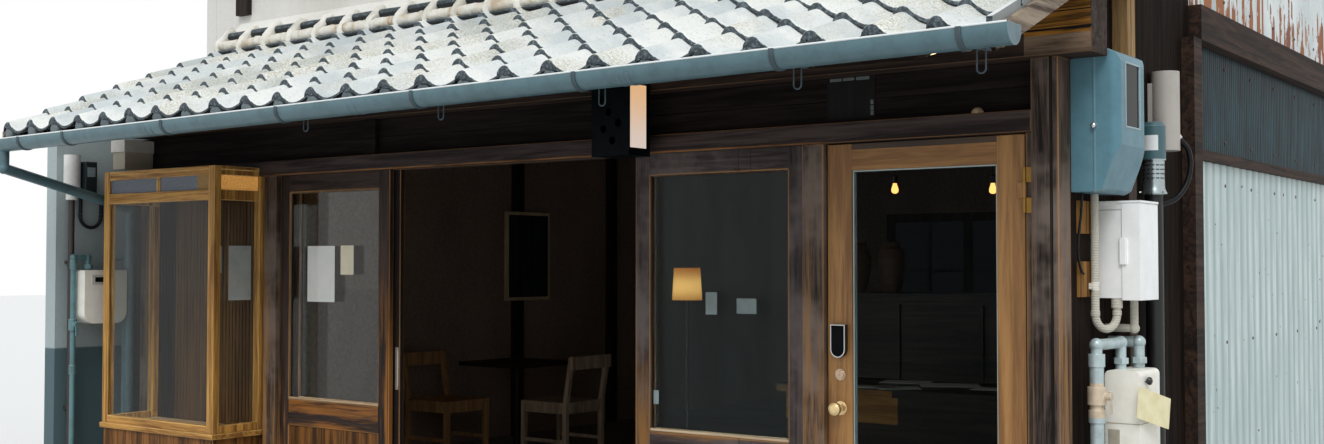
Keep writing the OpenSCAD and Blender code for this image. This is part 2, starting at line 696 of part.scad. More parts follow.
module sash_left_outer() color("#2f241d") sash(left_outer_x, 0);
module sash_left_inner() color("#2f241d") sash(left_inner_x, 1);
module sash_right_inner() color("#2f241d") sash(right_x, 1);
module sash_right_outer() color("#2f241d") sash(right_x, 0);
module sash_glass_1() color("lightblue", 0.4) sash_pane(left_outer_x, 0);
module sash_glass_2() color("lightblue", 0.4) sash_pane(left_inner_x, 1);
module sash_glass_3() color("lightblue", 0.4) sash_pane(right_x, 1);
module sash_glass_4() color("lightblue", 0.4) sash_pane(right_x, 0);

sign_x = 992;
sign_w = 217;
sign_d = 160;
sign_foot_z = head_z - 20;
sign_h = 345;
sign_wall = 6;
sign_gap = 55;
sign_y0 = lintel_front_y - sign_gap - sign_d;
sign_arm = [80, 130];
sign_hole_r = 18;
sign_lamp = [12, sign_d - 26];
module box_sign() color("#18222a") difference() {
    union() {
        block([sign_x, sign_x + sign_w], [sign_y0, sign_y0 + sign_d], [sign_foot_z, sign_foot_z + sign_h]);
        block([for (x = sign_arm) sign_x + x], [sign_y0 + sign_d - 1, lintel_front_y - seat],
            [head_z + 25, head_z + 60]);
    }
    block([sign_x + sign_wall, sign_x + sign_w - sign_wall],
        [sign_y0 + sign_wall, sign_y0 + sign_d - sign_wall],
        [sign_foot_z + sign_wall, sign_foot_z + sign_h - sign_wall]);
    for (hole = [[0.24, 0.76], [0.46, 0.58], [0.72, 0.43], [0.32, 0.36], [0.56, 0.2]])
        translate([sign_x + hole.x * sign_w, sign_y0 - 1, sign_foot_z + hole.y * sign_h])
            rotate([-90, 0, 0]) cylinder(r = sign_hole_r, h = sign_wall + 2);
    block([sign_x + sign_w - sign_wall / 2, sign_x + sign_w + 1], [for (y = sign_lamp) sign_y0 + y],
        [sign_foot_z + 35, sign_foot_z + sign_h - 20]);
}

// A square with rounded corners on its +X side, in the XY plane
module half_round(w, d, r) {
    translate([0, 0]) square([w - r, d]);
    translate([0, r]) square([w, d - 2 * r]);
    for (y = [r, d - r]) translate([w - r, y]) circle(r);
}

meter_box_y = beam_back_y + 6;
meter_box_d = 330;
meter_box_w = 190;
meter_box_h = 550;
meter_box_z = [1780, 1780 + meter_box_h];
meter_seam_x = 92;
meter_bead = 3;
meter_window_y = [85, 245];
meter_window_z = [255, 500];
module power_meter_box() color("#6c8794") translate([wall_x1 + seat, meter_box_y, meter_box_z[0]]) {
    difference() {
        meter_shell(meter_box_w, meter_box_d, 0);
        block([meter_box_w - 6, meter_box_w + 1], meter_window_y, meter_window_z);
    }
    intersection() {
        translate([0, -meter_bead, 0]) meter_shell(meter_box_w, meter_box_d + 2 * meter_bead, meter_bead);
        block([meter_seam_x, meter_seam_x + 5], [-10, meter_box_d + 10], [-10, meter_box_h + 10]);
    }
    translate([meter_seam_x + 3, -10, 255]) rotate([-90, 0, 0]) cylinder(r = 11, h = 20);
}

// The meter box's outer form: rounded upright edges, and a sloping foot under its window
module meter_shell(w, d, grow) intersection() {
    translate([0, 0, -grow]) linear_extrude(meter_box_h + 2 * grow) half_round(w, d, 38);
    translate([0, d + 1, 0]) rotate([90, 0, 0]) linear_extrude(d + 2)
        polygon([[0, -grow], [105, -grow], [125, 12], [w, 180], [w, meter_box_h - 45],
            [w - 12, meter_box_h - 15], [w - 40, meter_box_h + grow], [0, meter_box_h + grow]]);
}

switch_y = [340, 550];
switch_z = [1363, 1745];
cable_pipe_y = 920;
module side_boxes() color("whitesmoke") {
    block([wall_x1, wall_x1 + 180], switch_y, switch_z);
    block([wall_x1, wall_x1 + 186], [switch_y[0] - 6, switch_y[1] + 6], [switch_z[1] - 1, switch_z[1] + 8]);
    block([wall_x1 + 100, wall_x1 + 130], [switch_y[0] - 12, switch_y[0] + 1], [1500, 1600]);
    translate([wall_x1 + 66, cable_pipe_y + 130, 2000]) cylinder(r = 60, h = 350);
    block([wall_x1, wall_x1 + 20], [cable_pipe_y + 90, cable_pipe_y + 170], [2050, 2300]);
    translate([wall_x1 + 52, cable_pipe_y, 0]) {
        cylinder(r = 38, h = 1810);
        translate([0, 0, 1800]) cylinder(r = 45, h = 160);
        translate([0, 0, 1950]) cylinder(r = 51.5, h = 150);
        translate([0, 0, 2099]) cylinder(r1 = 51.5, r2 = 38, h = 18);
    }
}

gas_meter_z = [720, 1078];
gas_meter_y = [290, 535];
left_meter_z = 1462;
module gas_meters() color("ivory") {
    translate([wall_x1 + 50, gas_meter_y[1], 0]) rotate([90, 0, 0])
        linear_extrude(gas_meter_y[1] - gas_meter_y[0]) meter_outline(140, gas_meter_z, 22, 30);
    block([wall_x1 + seat, wall_x1 + 51], [gas_meter_y[0] + 80, gas_meter_y[1] - 80], [820, 980]);
    translate([wall_x0 + 70, -420, 0]) rotate([90, 0, 90]) linear_extrude(125)
        meter_outline(290, [1130, left_meter_z], 10, 70);
    block([wall_x0 + seat, wall_x0 + 71], [-320, -230], [1240, 1340]);
}

// A meter's face in the XY plane: two corner radii at the top and two at the foot
module meter_outline(w, ys, r_top, r_foot) {
    for (x = [r_foot, w - r_foot]) translate([x, ys[0] + r_foot]) circle(r_foot);
    for (x = [r_top, w - r_top]) translate([x, ys[1] - r_top]) circle(r_top);
    translate([r_foot, ys[0]]) square([w - 2 * r_foot, r_foot + 1]);
    translate([0, ys[0] + r_foot]) square([w, ys[1] - ys[0] - r_foot - r_top]);
    translate([r_top, ys[1] - r_top - 1]) square([w - 2 * r_top, r_top + 1]);
}

left_pipe_x = wall_x0 + 110;
left_pipe_z = 1540;
gas_z = gas_meter_z[1] + 105;
gas_x = wall_x1 + 62;
module gas_pipes() color("#7fa0a4") {
    for (ys = [[-445, -350], [-90, -200]]) {
        bent_pipe([[left_pipe_x, ys[0], 0], [left_pipe_x, ys[0], left_pipe_z],
            [left_pipe_x, ys[1], left_pipe_z], [left_pipe_x, ys[1], left_meter_z]], 17);
        pipe_nut([left_pipe_x, ys[1], left_meter_z + 10]);
    }
    valve([left_pipe_x, -445, 1090], 17);
    for (z = [820, 1470]) translate([left_pipe_x, -445, z]) cylinder(r = 22, h = 55);
    translate([gas_x, 170, 0]) cylinder(r = 27, h = gas_z - 40);
    bent_pipe([[gas_x, 170, gas_z - 60], [gas_x, 170, gas_z], [gas_x + 16, 400, gas_z],
        [gas_x + 16, 400, gas_meter_z[1]]], 22);
    pipe_nut([gas_x + 16, 400, gas_meter_z[1] + 20]);
    valve([gas_x, 170, 950], 27);
    for (z = [880, gas_z - 85]) translate([gas_x, 170, z]) cylinder(r = 32, h = 50);
    bent_pipe([[wall_x1 + seat, 490, gas_z], [gas_x + 60, 490, gas_z],
        [gas_x + 60, 490, gas_meter_z[1]]], 22);
    pipe_nut([gas_x + 60, 490, gas_meter_z[1] + 20]);
}

// A pipe along a route, with a round elbow at each inner corner
module bent_pipe(route, r) {
    for (i = [1 : len(route) - 1]) slope_pipe(route[i - 1], route[i], r);
    for (i = [1 : len(route) - 2]) translate(route[i]) sphere(r + 5);
}

module pipe_nut(place) translate(place) cylinder(r = 32, h = 24, $fn = 6);

// A cock on an upright pipe: a round body, a side stub and a flat lever
module valve(place, r) translate(place) {
    cylinder(r = r + 9, h = 70);
    translate([r - 2, 0, 35]) rotate([0, 90, 0]) cylinder(r = 16, h = 34);
    translate([r + 26, -9, -35]) cube([5, 18, 90]);
}

cap_y = -430;
module recess_boxes() color("ivory") {
    block([wall_x0 + 105, wall_x0 + 235], [-180, 20 - seat], [lintel_top_z + seat, lintel_top_z + 110]);
    block([wall_x0 + 95, wall_x0 + 245], [-190, 20 - seat], [lintel_top_z + 109, lintel_top_z + 185]);
    translate([wall_x0 + 55, cap_y, 1950]) cylinder(r = 50, h = 230);
    translate([wall_x0 + 55, cap_y, 1900]) cylinder(r = 36, h = 60);
    translate([wall_x0 + 55, cap_y, 0]) cylinder(r = 18, h = 1905);
    for (z = [600, 1500]) block([wall_x0 + seat, wall_x0 + 50], [cap_y - 12, cap_y + 12], [z, z + 20]);
    block([wall_x0 + seat, wall_x0 + 120], [-375, -300], [1940, 2140]);
}

// Conduits that are clipped to the walls: upright runs joined by round bends
module meter_conduit() color("gainsboro") {
    run_r = 16;
    bend_r = 60;
    bend_z = 1300;
    start = [wall_x1 + 30, 250];
    turn = 66;
    end = [start.x + 2 * bend_r * cos(turn), start.y + 2 * bend_r * sin(turn)];
    upright(start.x, start.y, bend_z, meter_box_z[0] - seat, run_r);
    upright(end.x, end.y, bend_z, switch_z[0] - seat, run_r);
    translate([end.x, end.y, switch_z[0] - 40]) cylinder(r = run_r + 6, h = 40 - seat);
    translate([(start.x + end.x) / 2, (start.y + end.y) / 2, bend_z]) rotate([90, 0, turn])
        u_bend(bend_r, run_r);
    block([wall_x1 + clamp_t + seat, start.x], [start.y - 26, start.y + 26], [1400, 1425]);
    bent_pipe([[wall_x1 + 118, 450, switch_z[0] - seat], [wall_x1 + 118, 450, 1240],
        [wall_x1 + seat, 450, 1240]], run_r);
    loop_x = wall_x0 + 30;
    upright(loop_x, -355, 1800, 1940 - seat, 11);
    translate([loop_x, -285, 1800]) rotate([90, 0, 90]) u_bend(70, 11);
    upright(loop_x, -215, 1800, 1900, 11);
    bent_pipe([[loop_x, -215, 1899], [loop_x, -215, 1900], [wall_x0 + seat, -215, 1900]], 11);
}

// A straight upright run over a bend, with a short sleeve at the joint
module upright(x, y, z0, z1, r) {
    translate([x, y, z0 + 2]) cylinder(r = r, h = z1 - z0 - 2);
    translate([x, y, z0 - 6]) cylinder(r = r + 2, h = 20);
}

// Half a ring in the XY plane, on the -Y side of its middle
module u_bend(bend_r, r)
    rotate([0, 0, 180]) rotate_extrude(angle = 180) translate([bend_r, 0]) circle(r);

post_ys = [3640, 4920];
module room_posts() color("#2b211b") for (y = post_ys)
    block([wall_x0, wall_x0 + 50], [y, y + 110], [floor_h, upper_floor_z - 40]);

table_w = 640;
table_h = 740;
table_at = [wall_x0 + 715, 2940];
seat_h = 440;
module room_furniture() color("#6a4526") {
    translate([table_at.x, table_at.y, 0]) {
        block([-table_w / 2, table_w / 2], [-table_w / 2, table_w / 2], [table_h - 30, table_h]);
        block([-120, 120], [-120, 120], [table_h - 50, table_h - 29]);
        translate([0, 0, floor_h + 10]) cylinder(r = 30, h = table_h - 50 - floor_h);
        for (turn = [0, 90]) rotate([0, 0, turn])
            block([-220, 220], [-35, 35], [floor_h + seat, floor_h + 30]);
    }
    chair(table_at.x - 120, table_at.y - 640, 0);
    chair(table_at.x + 620, table_at.y - 170, 180);
}

// A plain wooden chair: four legs, a seat on its rails, side stretchers and a straight back rail
module chair(x, y, turn) translate([x, y, floor_h + seat]) rotate([0, 0, turn]) {
    half = 220;
    leg = 34;
    for (side = [-1, 1]) {
        y0 = side * (half - leg / 2) - leg / 2;
        block([half - leg, half], [y0, y0 + leg], [0, seat_h]);
        block([-half, leg - half], [y0, y0 + leg], [0, seat_h]);
        run_back(y0, leg, half);
        block([-half + 5, half - 5], [y0 + 7, y0 + leg - 7], [150, 175]);
        block([-half + 5, half - 5], [y0 + 5, y0 + leg - 5], [seat_h - 75, seat_h - 15]);
    }
    for (x0 = [-half, half - leg])
        block([x0 + 5, x0 + leg - 5], [5 - half, half - 5], [seat_h - 75, seat_h - 15]);
    block([-half, half], [-half, half], [seat_h - 16, seat_h + 8]);
    block([-half - 68, -half - 48], [-half, half], [seat_h + 250, seat_h + 345]);
}

// One raking back post of a chair
module run_back(y0, leg, half) translate([0, y0 + leg, 0]) rotate([90, 0, 0]) linear_extrude(leg)
    polygon([[-half, seat_h - 20], [leg - half, seat_h - 20],
        [leg - half - 62, seat_h + 345], [-half - 62, seat_h + 345]]);

counter_x = [1200, 2700];
counter_y = [1000, 1600];
counter_h = 880;
cabinet_x = [800, 2900];
cabinet_y = [2100, 2500];
cabinet_h = 1330;
module counter() color("#3b2a1e") {
    block(counter_x, counter_y, [counter_h - 40, counter_h]);
    for (x = [counter_x[0] + 40, counter_x[1] - 80])
        block([x, x + 40], [counter_y[0] + 30, counter_y[1] - 30], [floor_h, counter_h - 39]);
    block([counter_x[0] + 40, counter_x[1] - 40], [counter_y[0] + 60, counter_y[0] + 80],
        [floor_h + 60, counter_h - 39]);
    difference() {
        block(cabinet_x, cabinet_y, [floor_h, cabinet_h]);
        for (i = [0 : 3])
            block([cabinet_x[0] + 30 + i * 515, cabinet_x[0] + 525 + i * 515],
                [cabinet_y[0] - 1, cabinet_y[0] + 15], [floor_h + 90, cabinet_h - 60]);
    }
    for (x = [970, 1200]) translate([x, 2290, cabinet_h + seat]) jar();
}

// A round jar with a shoulder and a short neck
module jar() rotate_extrude()
    polygon([[0, 0], [48, 0], [66, 60], [82, 150], [84, 205], [70, 255], [50, 275], [52, 300], [0, 300]]);

frame_y = [3500, 4050];
frame_z = [1190, 1945];
module wall_fittings() color("#4a3526") {
    difference() {
        block([wall_x0 + 50 + seat, wall_x0 + 80], frame_y, frame_z);
        block([wall_x0 + 70, wall_x0 + 81], [frame_y[0] + 28, frame_y[1] - 28],
            [frame_z[0] + 28, frame_z[1] - 28]);
    }
    block([door_open_x - 7, door_open_x + 225], [frieze_y[0] - 3, frieze_y[0] - seat],
        [lintel_top_z + 22, keta_z - seat]);
    translate([corner_x - 235, -18, lintel_top_z + seat]) difference() {
        sphere(26);
        block([-27, 27], [-27, 27], [-27, 0]);
    }
}

floor_slab();
door_threshold();
left_party_wall();
left_wing_wall();
right_side_wall();
side_boards();
corrugated_sheets();
sheet_rails();
rear_wall();
upper_front_wall();
front_posts();
upper_posts();
door_lintel();
frieze_boards();
eave_beam();
upper_girder();
pent_rafters();
pent_deck();
pent_tiles();
pent_flashing();
pent_verges();
gutter();
gutter_brackets();
downpipe();
front_roof_deck();
rear_roof_deck();
front_roof_tiles();
rear_roof_tiles();
roof_ridge();
upper_floor();
upper_window();
rear_windows();
window_glass();
show_base();
show_frame();
show_glass();
show_back();
entry_door();
entry_glass();
door_lock();
door_hinges();
sash_left_outer();
sash_left_inner();
sash_right_inner();
sash_right_outer();
sash_glass_1();
sash_glass_2();
sash_glass_3();
sash_glass_4();
box_sign();
power_meter_box();
side_boxes();
gas_meters();
gas_pipes();
recess_boxes();
meter_conduit();
room_posts();
room_furniture();
counter();
wall_fittings();
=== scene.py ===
"""The looks of a wooden townhouse in a row: finishes, roof tiles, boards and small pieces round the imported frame."""

import math
import random
from itertools import product

import bmesh
import bpy
from mathutils import Matrix, Vector


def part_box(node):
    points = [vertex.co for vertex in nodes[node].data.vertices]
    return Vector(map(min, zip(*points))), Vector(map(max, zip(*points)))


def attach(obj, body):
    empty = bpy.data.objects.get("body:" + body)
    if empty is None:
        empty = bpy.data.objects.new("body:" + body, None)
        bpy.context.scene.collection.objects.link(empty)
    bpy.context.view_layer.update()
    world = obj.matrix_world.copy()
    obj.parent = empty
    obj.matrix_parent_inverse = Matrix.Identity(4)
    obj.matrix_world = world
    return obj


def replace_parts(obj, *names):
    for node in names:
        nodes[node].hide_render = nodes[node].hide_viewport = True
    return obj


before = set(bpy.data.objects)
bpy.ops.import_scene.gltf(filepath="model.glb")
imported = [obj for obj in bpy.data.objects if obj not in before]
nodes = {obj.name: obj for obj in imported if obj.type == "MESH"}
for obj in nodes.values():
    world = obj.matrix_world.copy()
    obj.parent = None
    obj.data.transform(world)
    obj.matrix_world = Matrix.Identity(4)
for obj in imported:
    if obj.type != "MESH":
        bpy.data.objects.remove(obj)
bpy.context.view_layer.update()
rng = random.Random(11)

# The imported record's main sizes, in metres
PENT_PITCH = 0.415
PENT_EAVE_Y = -0.985
PENT_DECK_Z = 2.2317
PENT_X = (-2.86, 3.29)
PENT_COLUMNS = 25
MAIN_PITCH = 0.45
MAIN_PLATE_Z = 4.45
UPPER_Y = 0.66
REAR_Y = 7.9
WALL_X = 3.135
LEFT_SASH_X = -1.587
RIGHT_SASH_X = 1.045
INNER_SASH_DX = 0.04
INNER_SASH_Y = 0.042
SASH_GLASS = (0.085, 0.845)
SASH_RAILS = ((0.0, 0.2), (0.57, 0.72), (1.915, 2.1))
METER = (3.187, 0.92)
LAMP = (0.409, 1.3)
PENDANT_Y = 1.3
CEILING_Z = 2.748
COUNTER_TOP_Z = 0.8808
GUTTER_Y = -1.048
GUTTER_JOINTS = (-1.2625, 0.285, 1.8325)

FAR = 99
PAPER_EDGE = 0.0002
PAPER = 0.8, 12, 0.02


def pent_z(y):
    """Top of the pent roof's boards."""
    return PENT_DECK_Z + (y - PENT_EAVE_Y) * PENT_PITCH


def main_z(y):
    """Top of the main roof's boards."""
    run = y - UPPER_Y if y < (UPPER_Y + REAR_Y) / 2 else REAR_Y - y
    return MAIN_PLATE_Z + run * MAIN_PITCH + 0.073


def tint(code, gain=1.0):
    """A colour written as six hex digits, as linear light."""
    values = [int(code[i : i + 2], 16) / 255 for i in (0, 2, 4)]
    linear = [v / 12.92 if v <= 0.04045 else ((v + 0.055) / 1.055) ** 2.4 for v in values]
    return (*[v * gain for v in linear], 1.0)


# ---- materials


class Nodes:
    """Adds shader nodes to a tree. A value is a number, a colour or another node's output."""

    def __init__(self, tree):
        self.tree = tree

    def feed(self, socket, value):
        if isinstance(value, bpy.types.NodeSocket):
            self.tree.links.new(value, socket)
        else:
            socket.default_value = tint(value) if isinstance(value, str) else value

    def new(self, kind, inputs, **settings):
        node = self.tree.nodes.new(kind)
        for key, value in settings.items():
            setattr(node, key, value)
        for key, value in inputs.items():
            self.feed(node.inputs[key], value)
        return node.outputs

    def math(self, operation, a, b=0.0, clamp=False):
        return self.new("ShaderNodeMath", {0: a, 1: b}, operation=operation, use_clamp=clamp)[0]

    def mul(self, a, b):
        return self.math("MULTIPLY", a, b)

    def plus(self, a, b, clamp=False):
        return self.math("ADD", a, b, clamp)

    def any_of(self, shares):
        total = 0.0
        for share in shares:
            total = self.math("MAXIMUM", share, total)
        return total

    def direct(self):
        """1 for camera, glossy and transmission rays."""
        path = self.new("ShaderNodeLightPath", {})
        return self.any_of(path[kind] for kind in ("Is Camera Ray", "Is Glossy Ray", "Is Transmission Ray"))


class Paint(Nodes):
    """Builds one procedural material. Patterns follow the piece's own coordinates, in metres."""

    def __init__(self, **sockets):
        self.material = bpy.data.materials.new("paint")
        self.material.use_nodes = True
        super().__init__(self.material.node_tree)
        self.shader = self.tree.nodes["Principled BSDF"]
        coordinates = self.new("ShaderNodeTexCoord", {})
        self.place, self.facing = coordinates["Object"], coordinates["Normal"]
        self.xyz = self.split(self.place)
        self.set(**sockets)

    def set(self, **sockets):
        """Sets the shader's sockets, named as in base_color or roughness."""
        names = {s.name.lower().replace(" ", "_"): s for s in self.shader.inputs}
        for key, value in sockets.items():
            self.feed(names[key], value)

    def mix(self, share, a, b, kind="RGBA", first=6, out=2, blend="MIX"):
        inputs = {"Factor": share, first: a, first + 1: b}
        return self.new("ShaderNodeMix", inputs, data_type=kind, clamp_factor=True, blend_type=blend)[out]

    def mix_value(self, share, a, b):
        return self.mix(share, a, b, "FLOAT", 2, 0)

    def split(self, vector):
        return self.new("ShaderNodeSeparateXYZ", {0: vector})

    def step(self, value, low, high):
        """0 below low and 1 above high, smooth between. Low may be above high."""
        first, last = (1.0, 0.0) if low > high else (0.0, 1.0)
        inputs = {"Value": value, "From Min": min(low, high), "From Max": max(low, high),
                  "To Min": first, "To Max": last}
        return self.new("ShaderNodeMapRange", inputs, interpolation_type="SMOOTHSTEP")[0]

    def region(self, zone):
        """1 inside a zone and 0 outside it. A zone gives (low, high) for some of the axes x, y and z."""
        share = 1.0
        for axis, value in zip("xyz", self.xyz):
            if axis in zone:
                low, high = zone[axis]
                inputs = {0: value, 1: (low + high) / 2, 2: (high - low) / 2}
                share = self.mul(self.new("ShaderNodeMath", inputs, operation="COMPARE")[0], share)
        return share

    def scaled(self, vector, scale):
        return self.new("ShaderNodeMapping", {"Vector": vector, "Scale": scale})[0]

    def noise(self, scale, detail=4.0, rough=0.55, vector=None, twist=0.0):
        inputs = {"Vector": vector or self.place, "Scale": scale, "Detail": detail, "Roughness": rough,
                  "Distortion": twist}
        return self.new("ShaderNodeTexNoise", inputs)["Fac"]

    def pebbles(self):
        return self.new("ShaderNodeTexVoronoi", {"Vector": self.place, "Scale": 110})["Distance"]

    def edges(self, radius):
        """How near a point is to an outer edge, and the normal with that edge rounded."""
        normal = self.new("ShaderNodeBevel", {"Radius": radius}, samples=6)[0]
        plain = self.new("ShaderNodeNewGeometry", {})["Normal"]
        dot = self.new("ShaderNodeVectorMath", {0: normal, 1: plain}, operation="DOT_PRODUCT")["Value"]
        return self.step(dot, 0.998, 0.93), normal

    def bump(self, height, strength, distance, normal=None):
        inputs = {"Strength": strength, "Distance": distance, "Height": height}
        if normal is not None:
            inputs["Normal"] = normal
        self.set(normal=self.new("ShaderNodeBump", inputs)[0])


ALONG = {"x": (0.05, 1, 1), "y": (1, 0.05, 1), "z": (1, 1, 0.05)}
RAIL_SEAM = 0.001


def wood(dark, light, grain="z", rough=0.62, worn=None, edge=0.006, wear=0.5, size=1.0, rails=(), gaps=None,
         gloss=0.2, grey=None, low_wear_and_light=None, cracks=0.0, patches=()):
    """Timber with its grain along one axis, and along X in the rails, which are (x0, x1, z0, z1).
    Gaps is (axis, pitch) for the dark joints between boards. Low_wear_and_light is (z, colour): below that
    height the colour turns paler in streaks, partly wear and partly painted light. Worn is the colour of the
    outer edges, partly rubbed wear and partly painted highlight. Patches are (zone, dark, light) for places
    of another colour, and for painted shade."""
    p = Paint(specular_ior_level=gloss)
    place, joint = p.place, None
    if gaps:
        axis, pitch = gaps
        count = p.math("DIVIDE", p.xyz["xyz".index(axis)], pitch)
        tone = p.new("ShaderNodeTexWhiteNoise", {"W": p.math("FLOOR", count)}, noise_dimensions="1D")["Value"]
        place = p.new("ShaderNodeVectorMath", {0: place, 1: p.mul(tone, 7.0)}, operation="ADD")[0]
    vector = p.scaled(place, ALONG[grain])
    if rails:
        mask, line = (p.any_of(p.region(dict(x=(a - wide, b + wide), z=(c - wide, d + wide))) for a, b, c, d in rails)
                      for wide in (0.0, RAIL_SEAM))
        joint = p.math("SUBTRACT", line, mask, clamp=True)
        vector = p.mix(mask, vector, p.scaled(place, ALONG["x"]), "VECTOR", 4, 1)
    rings = p.noise(20 * size, 5, 0.6, vector, 1.2)
    fibres = p.noise(170 * size, 3, 0.6, vector)
    blotch = p.noise(2.1, 4, 0.65, place)
    height = p.plus(p.mul(rings, 0.75), p.mul(fibres, 0.3))
    share = p.step(height, 0.38, 0.68)
    colour = p.mix(share, dark, light)
    if grey:
        colour = p.mix(p.mul(p.step(blotch, 0.44, 0.64), 0.8), colour, grey)
    if gaps:
        colour = p.mix(p.mul(tone, 0.45), colour, tint(dark, 0.6))
    # Paler streaks below a height: partly wear, partly painted light.
    if low_wear_and_light:
        top, bare = low_wear_and_light
        level = p.step(p.plus(p.xyz[2], p.mul(blotch, 0.5)), top + 0.55, top - 0.35)
        streak = p.step(p.noise(11, 5, 0.7, vector), 0.47, 0.6)
        colour = p.mix(p.mul(p.mul(level, streak), 0.8), colour, bare)
    for zone, other_dark, other_light in patches:
        colour = p.mix(p.region(zone), colour, p.mix(share, other_dark, other_light))
    normal = None
    # Paler outer edges: partly rubbed wear, partly painted highlight.
    if worn:
        near, normal = p.edges(edge)
        edge_wear_and_highlight = p.mul(near, p.step(p.noise(9, 4, 0.7, vector), 0.6 - 0.3 * wear, 0.62))
        colour = p.mix(edge_wear_and_highlight, colour, worn)
    if cracks:
        split = p.step(p.noise(34, 2, 0.5, p.scaled(place, [v**3 for v in ALONG[grain]])), 0.635, 0.66)
        split = p.mul(split, cracks)
        colour = p.mix(split, colour, tint(dark, 0.25))
        height = p.math("SUBTRACT", height, p.mul(split, 1.5))
    if gaps:
        phase = p.math("FRACT", count)
        joint = p.plus(p.step(phase, 0.03, 0.0), p.step(phase, 0.97, 1.0), clamp=True)
    if joint is not None:
        colour = p.mix(p.mul(joint, 0.9), colour, "0b0806")
        height = p.math("SUBTRACT", height, p.mul(joint, 3.0))
    p.set(base_color=colour, roughness=p.plus(p.mul(rings, -0.2), rough + 0.1))
    p.bump(height, 0.4, 0.003, normal)
    return p.material


def plaster(pale, stain, rough=0.85, bump=0.25, foot=None, zones=(), patchy=1.1):
    """Trowelled plaster with soft stains. Foot is (z, colour) for a darker wall below that height.
    Zones are (zone, pale, stain) for places of another colour."""
    p = Paint(specular_ior_level=0.25)
    broad = p.noise(patchy, 5, 0.6, p.scaled(p.place, (1, 1, 0.45)), 0.4)
    fine = p.noise(38, 5, 0.65)
    colour = p.mix(p.step(broad, 0.42, 0.75), pale, stain)
    colour = p.mix(p.mul(p.step(fine, 0.45, 0.8), 0.25), colour, tint(stain, 0.8))
    if foot:
        top, low = foot
        colour = p.mix(p.step(p.plus(p.xyz[2], p.mul(broad, 0.02)), top + 0.012, top), colour, low)
    share = p.step(p.plus(p.mul(fine, 0.5), p.mul(broad, 0.5)), 0.4, 0.62)
    for zone, first, second in zones:
        colour = p.mix(p.region(zone), colour, p.mix(share, first, second))
    p.set(base_color=colour, roughness=rough)
    p.bump(p.plus(fine, p.mul(broad, 2.0)), bump, 0.004)
    return p.material


def metal(colour, worn, rough=0.45, metallic=0.0, wear=0.5, edge=0.003, gloss=0.5, zones=(), ribs=0.0, dirt=0.3):
    """Painted or bare metal or plastic with a soft mottle, and paler edges and chips in the worn colour: the
    chips are wear, the edges partly rubbed wear and partly painted highlight. Zones are (zone, colour,
    roughness, metallic) for places of another finish. Ribs is the pitch of rings along Z."""
    p = Paint(specular_ior_level=gloss)
    mottle = p.noise(14, 5, 0.65)
    specks = p.noise(196, 2, 0.5)
    base, dull, bare = colour, rough, metallic
    for zone, other, other_rough, other_metallic in zones:
        share = p.region(zone)
        base = p.mix(share, base, other)
        dull = p.mix_value(share, dull, other_rough)
        bare = p.mix_value(share, bare, other_metallic)
    base = p.mix(p.mul(p.step(mottle, 0.38, 0.72), dirt), base, (0.45, 0.42, 0.38, 1), blend="MULTIPLY")
    # Paler edges: partly rubbed wear, partly painted highlight, as on the gutter's lip.
    near, normal = p.edges(edge)
    chip = p.mul(p.step(specks, 0.74, 0.78), wear)
    base = p.mix(p.math("MAXIMUM", p.mul(near, wear), chip), base, worn)
    p.set(base_color=base, metallic=bare, roughness=p.plus(p.mul(mottle, 0.2), p.math("SUBTRACT", dull, 0.1)))
    height = mottle
    if ribs:
        wave = p.math("SINE", p.mul(p.xyz[2], 2 * math.pi / ribs))
        height = p.plus(mottle, p.mul(wave, 2.0))
    p.bump(height, 0.5 if ribs else 0.08, 0.002, normal)
    return p.material


def glass(colour, ior, zones=(), lit=None):
    """A clear pane that lets lamps through. Zones are (zone, colour, roughness, clearness) for places of
    other glass. Lit is (zone, colour, strength) for a place that glows with no lamp behind it: painted light."""
    p = Paint(ior=ior, specular_ior_level=0.5)
    base, dull, clearness, relief = colour, 0.0, 1.0, None
    for zone, other, other_rough, other_clearness in zones:
        share = p.region(zone)
        base = p.mix(share, base, other)
        dull = p.mix_value(share, dull, other_rough)
        clearness = p.mix_value(share, clearness, other_clearness)
        if other_clearness < 1:
            pebbles = p.mul(p.pebbles(), p.mul(share, 4.0))
            relief = pebbles if relief is None else p.plus(relief, pebbles)
    p.set(base_color=base, roughness=dull, transmission_weight=clearness)
    if relief is not None:
        p.bump(relief, 0.5, 0.002)
    # Painted light: the lit zone glows though no lamp is behind it.
    if lit:
        zone, glow, strength = lit
        painted_glow_spots = p.mix(p.step(p.pebbles(), 0.1, 0.6), glow, tint(glow, 0.45))
        p.set(emission_color=p.mix(p.region(zone), (0, 0, 0, 1), painted_glow_spots), emission_strength=strength)
    clear = p.new("ShaderNodeBsdfTransparent", {"Color": base})[0]
    shadow = p.new("ShaderNodeLightPath", {})["Is Shadow Ray"]
    either = p.new("ShaderNodeMixShader", {"Fac": shadow, 1: p.shader.outputs[0], 2: clear})[0]
    p.feed(p.tree.nodes["Material Output"].inputs["Surface"], either)
    return p.material


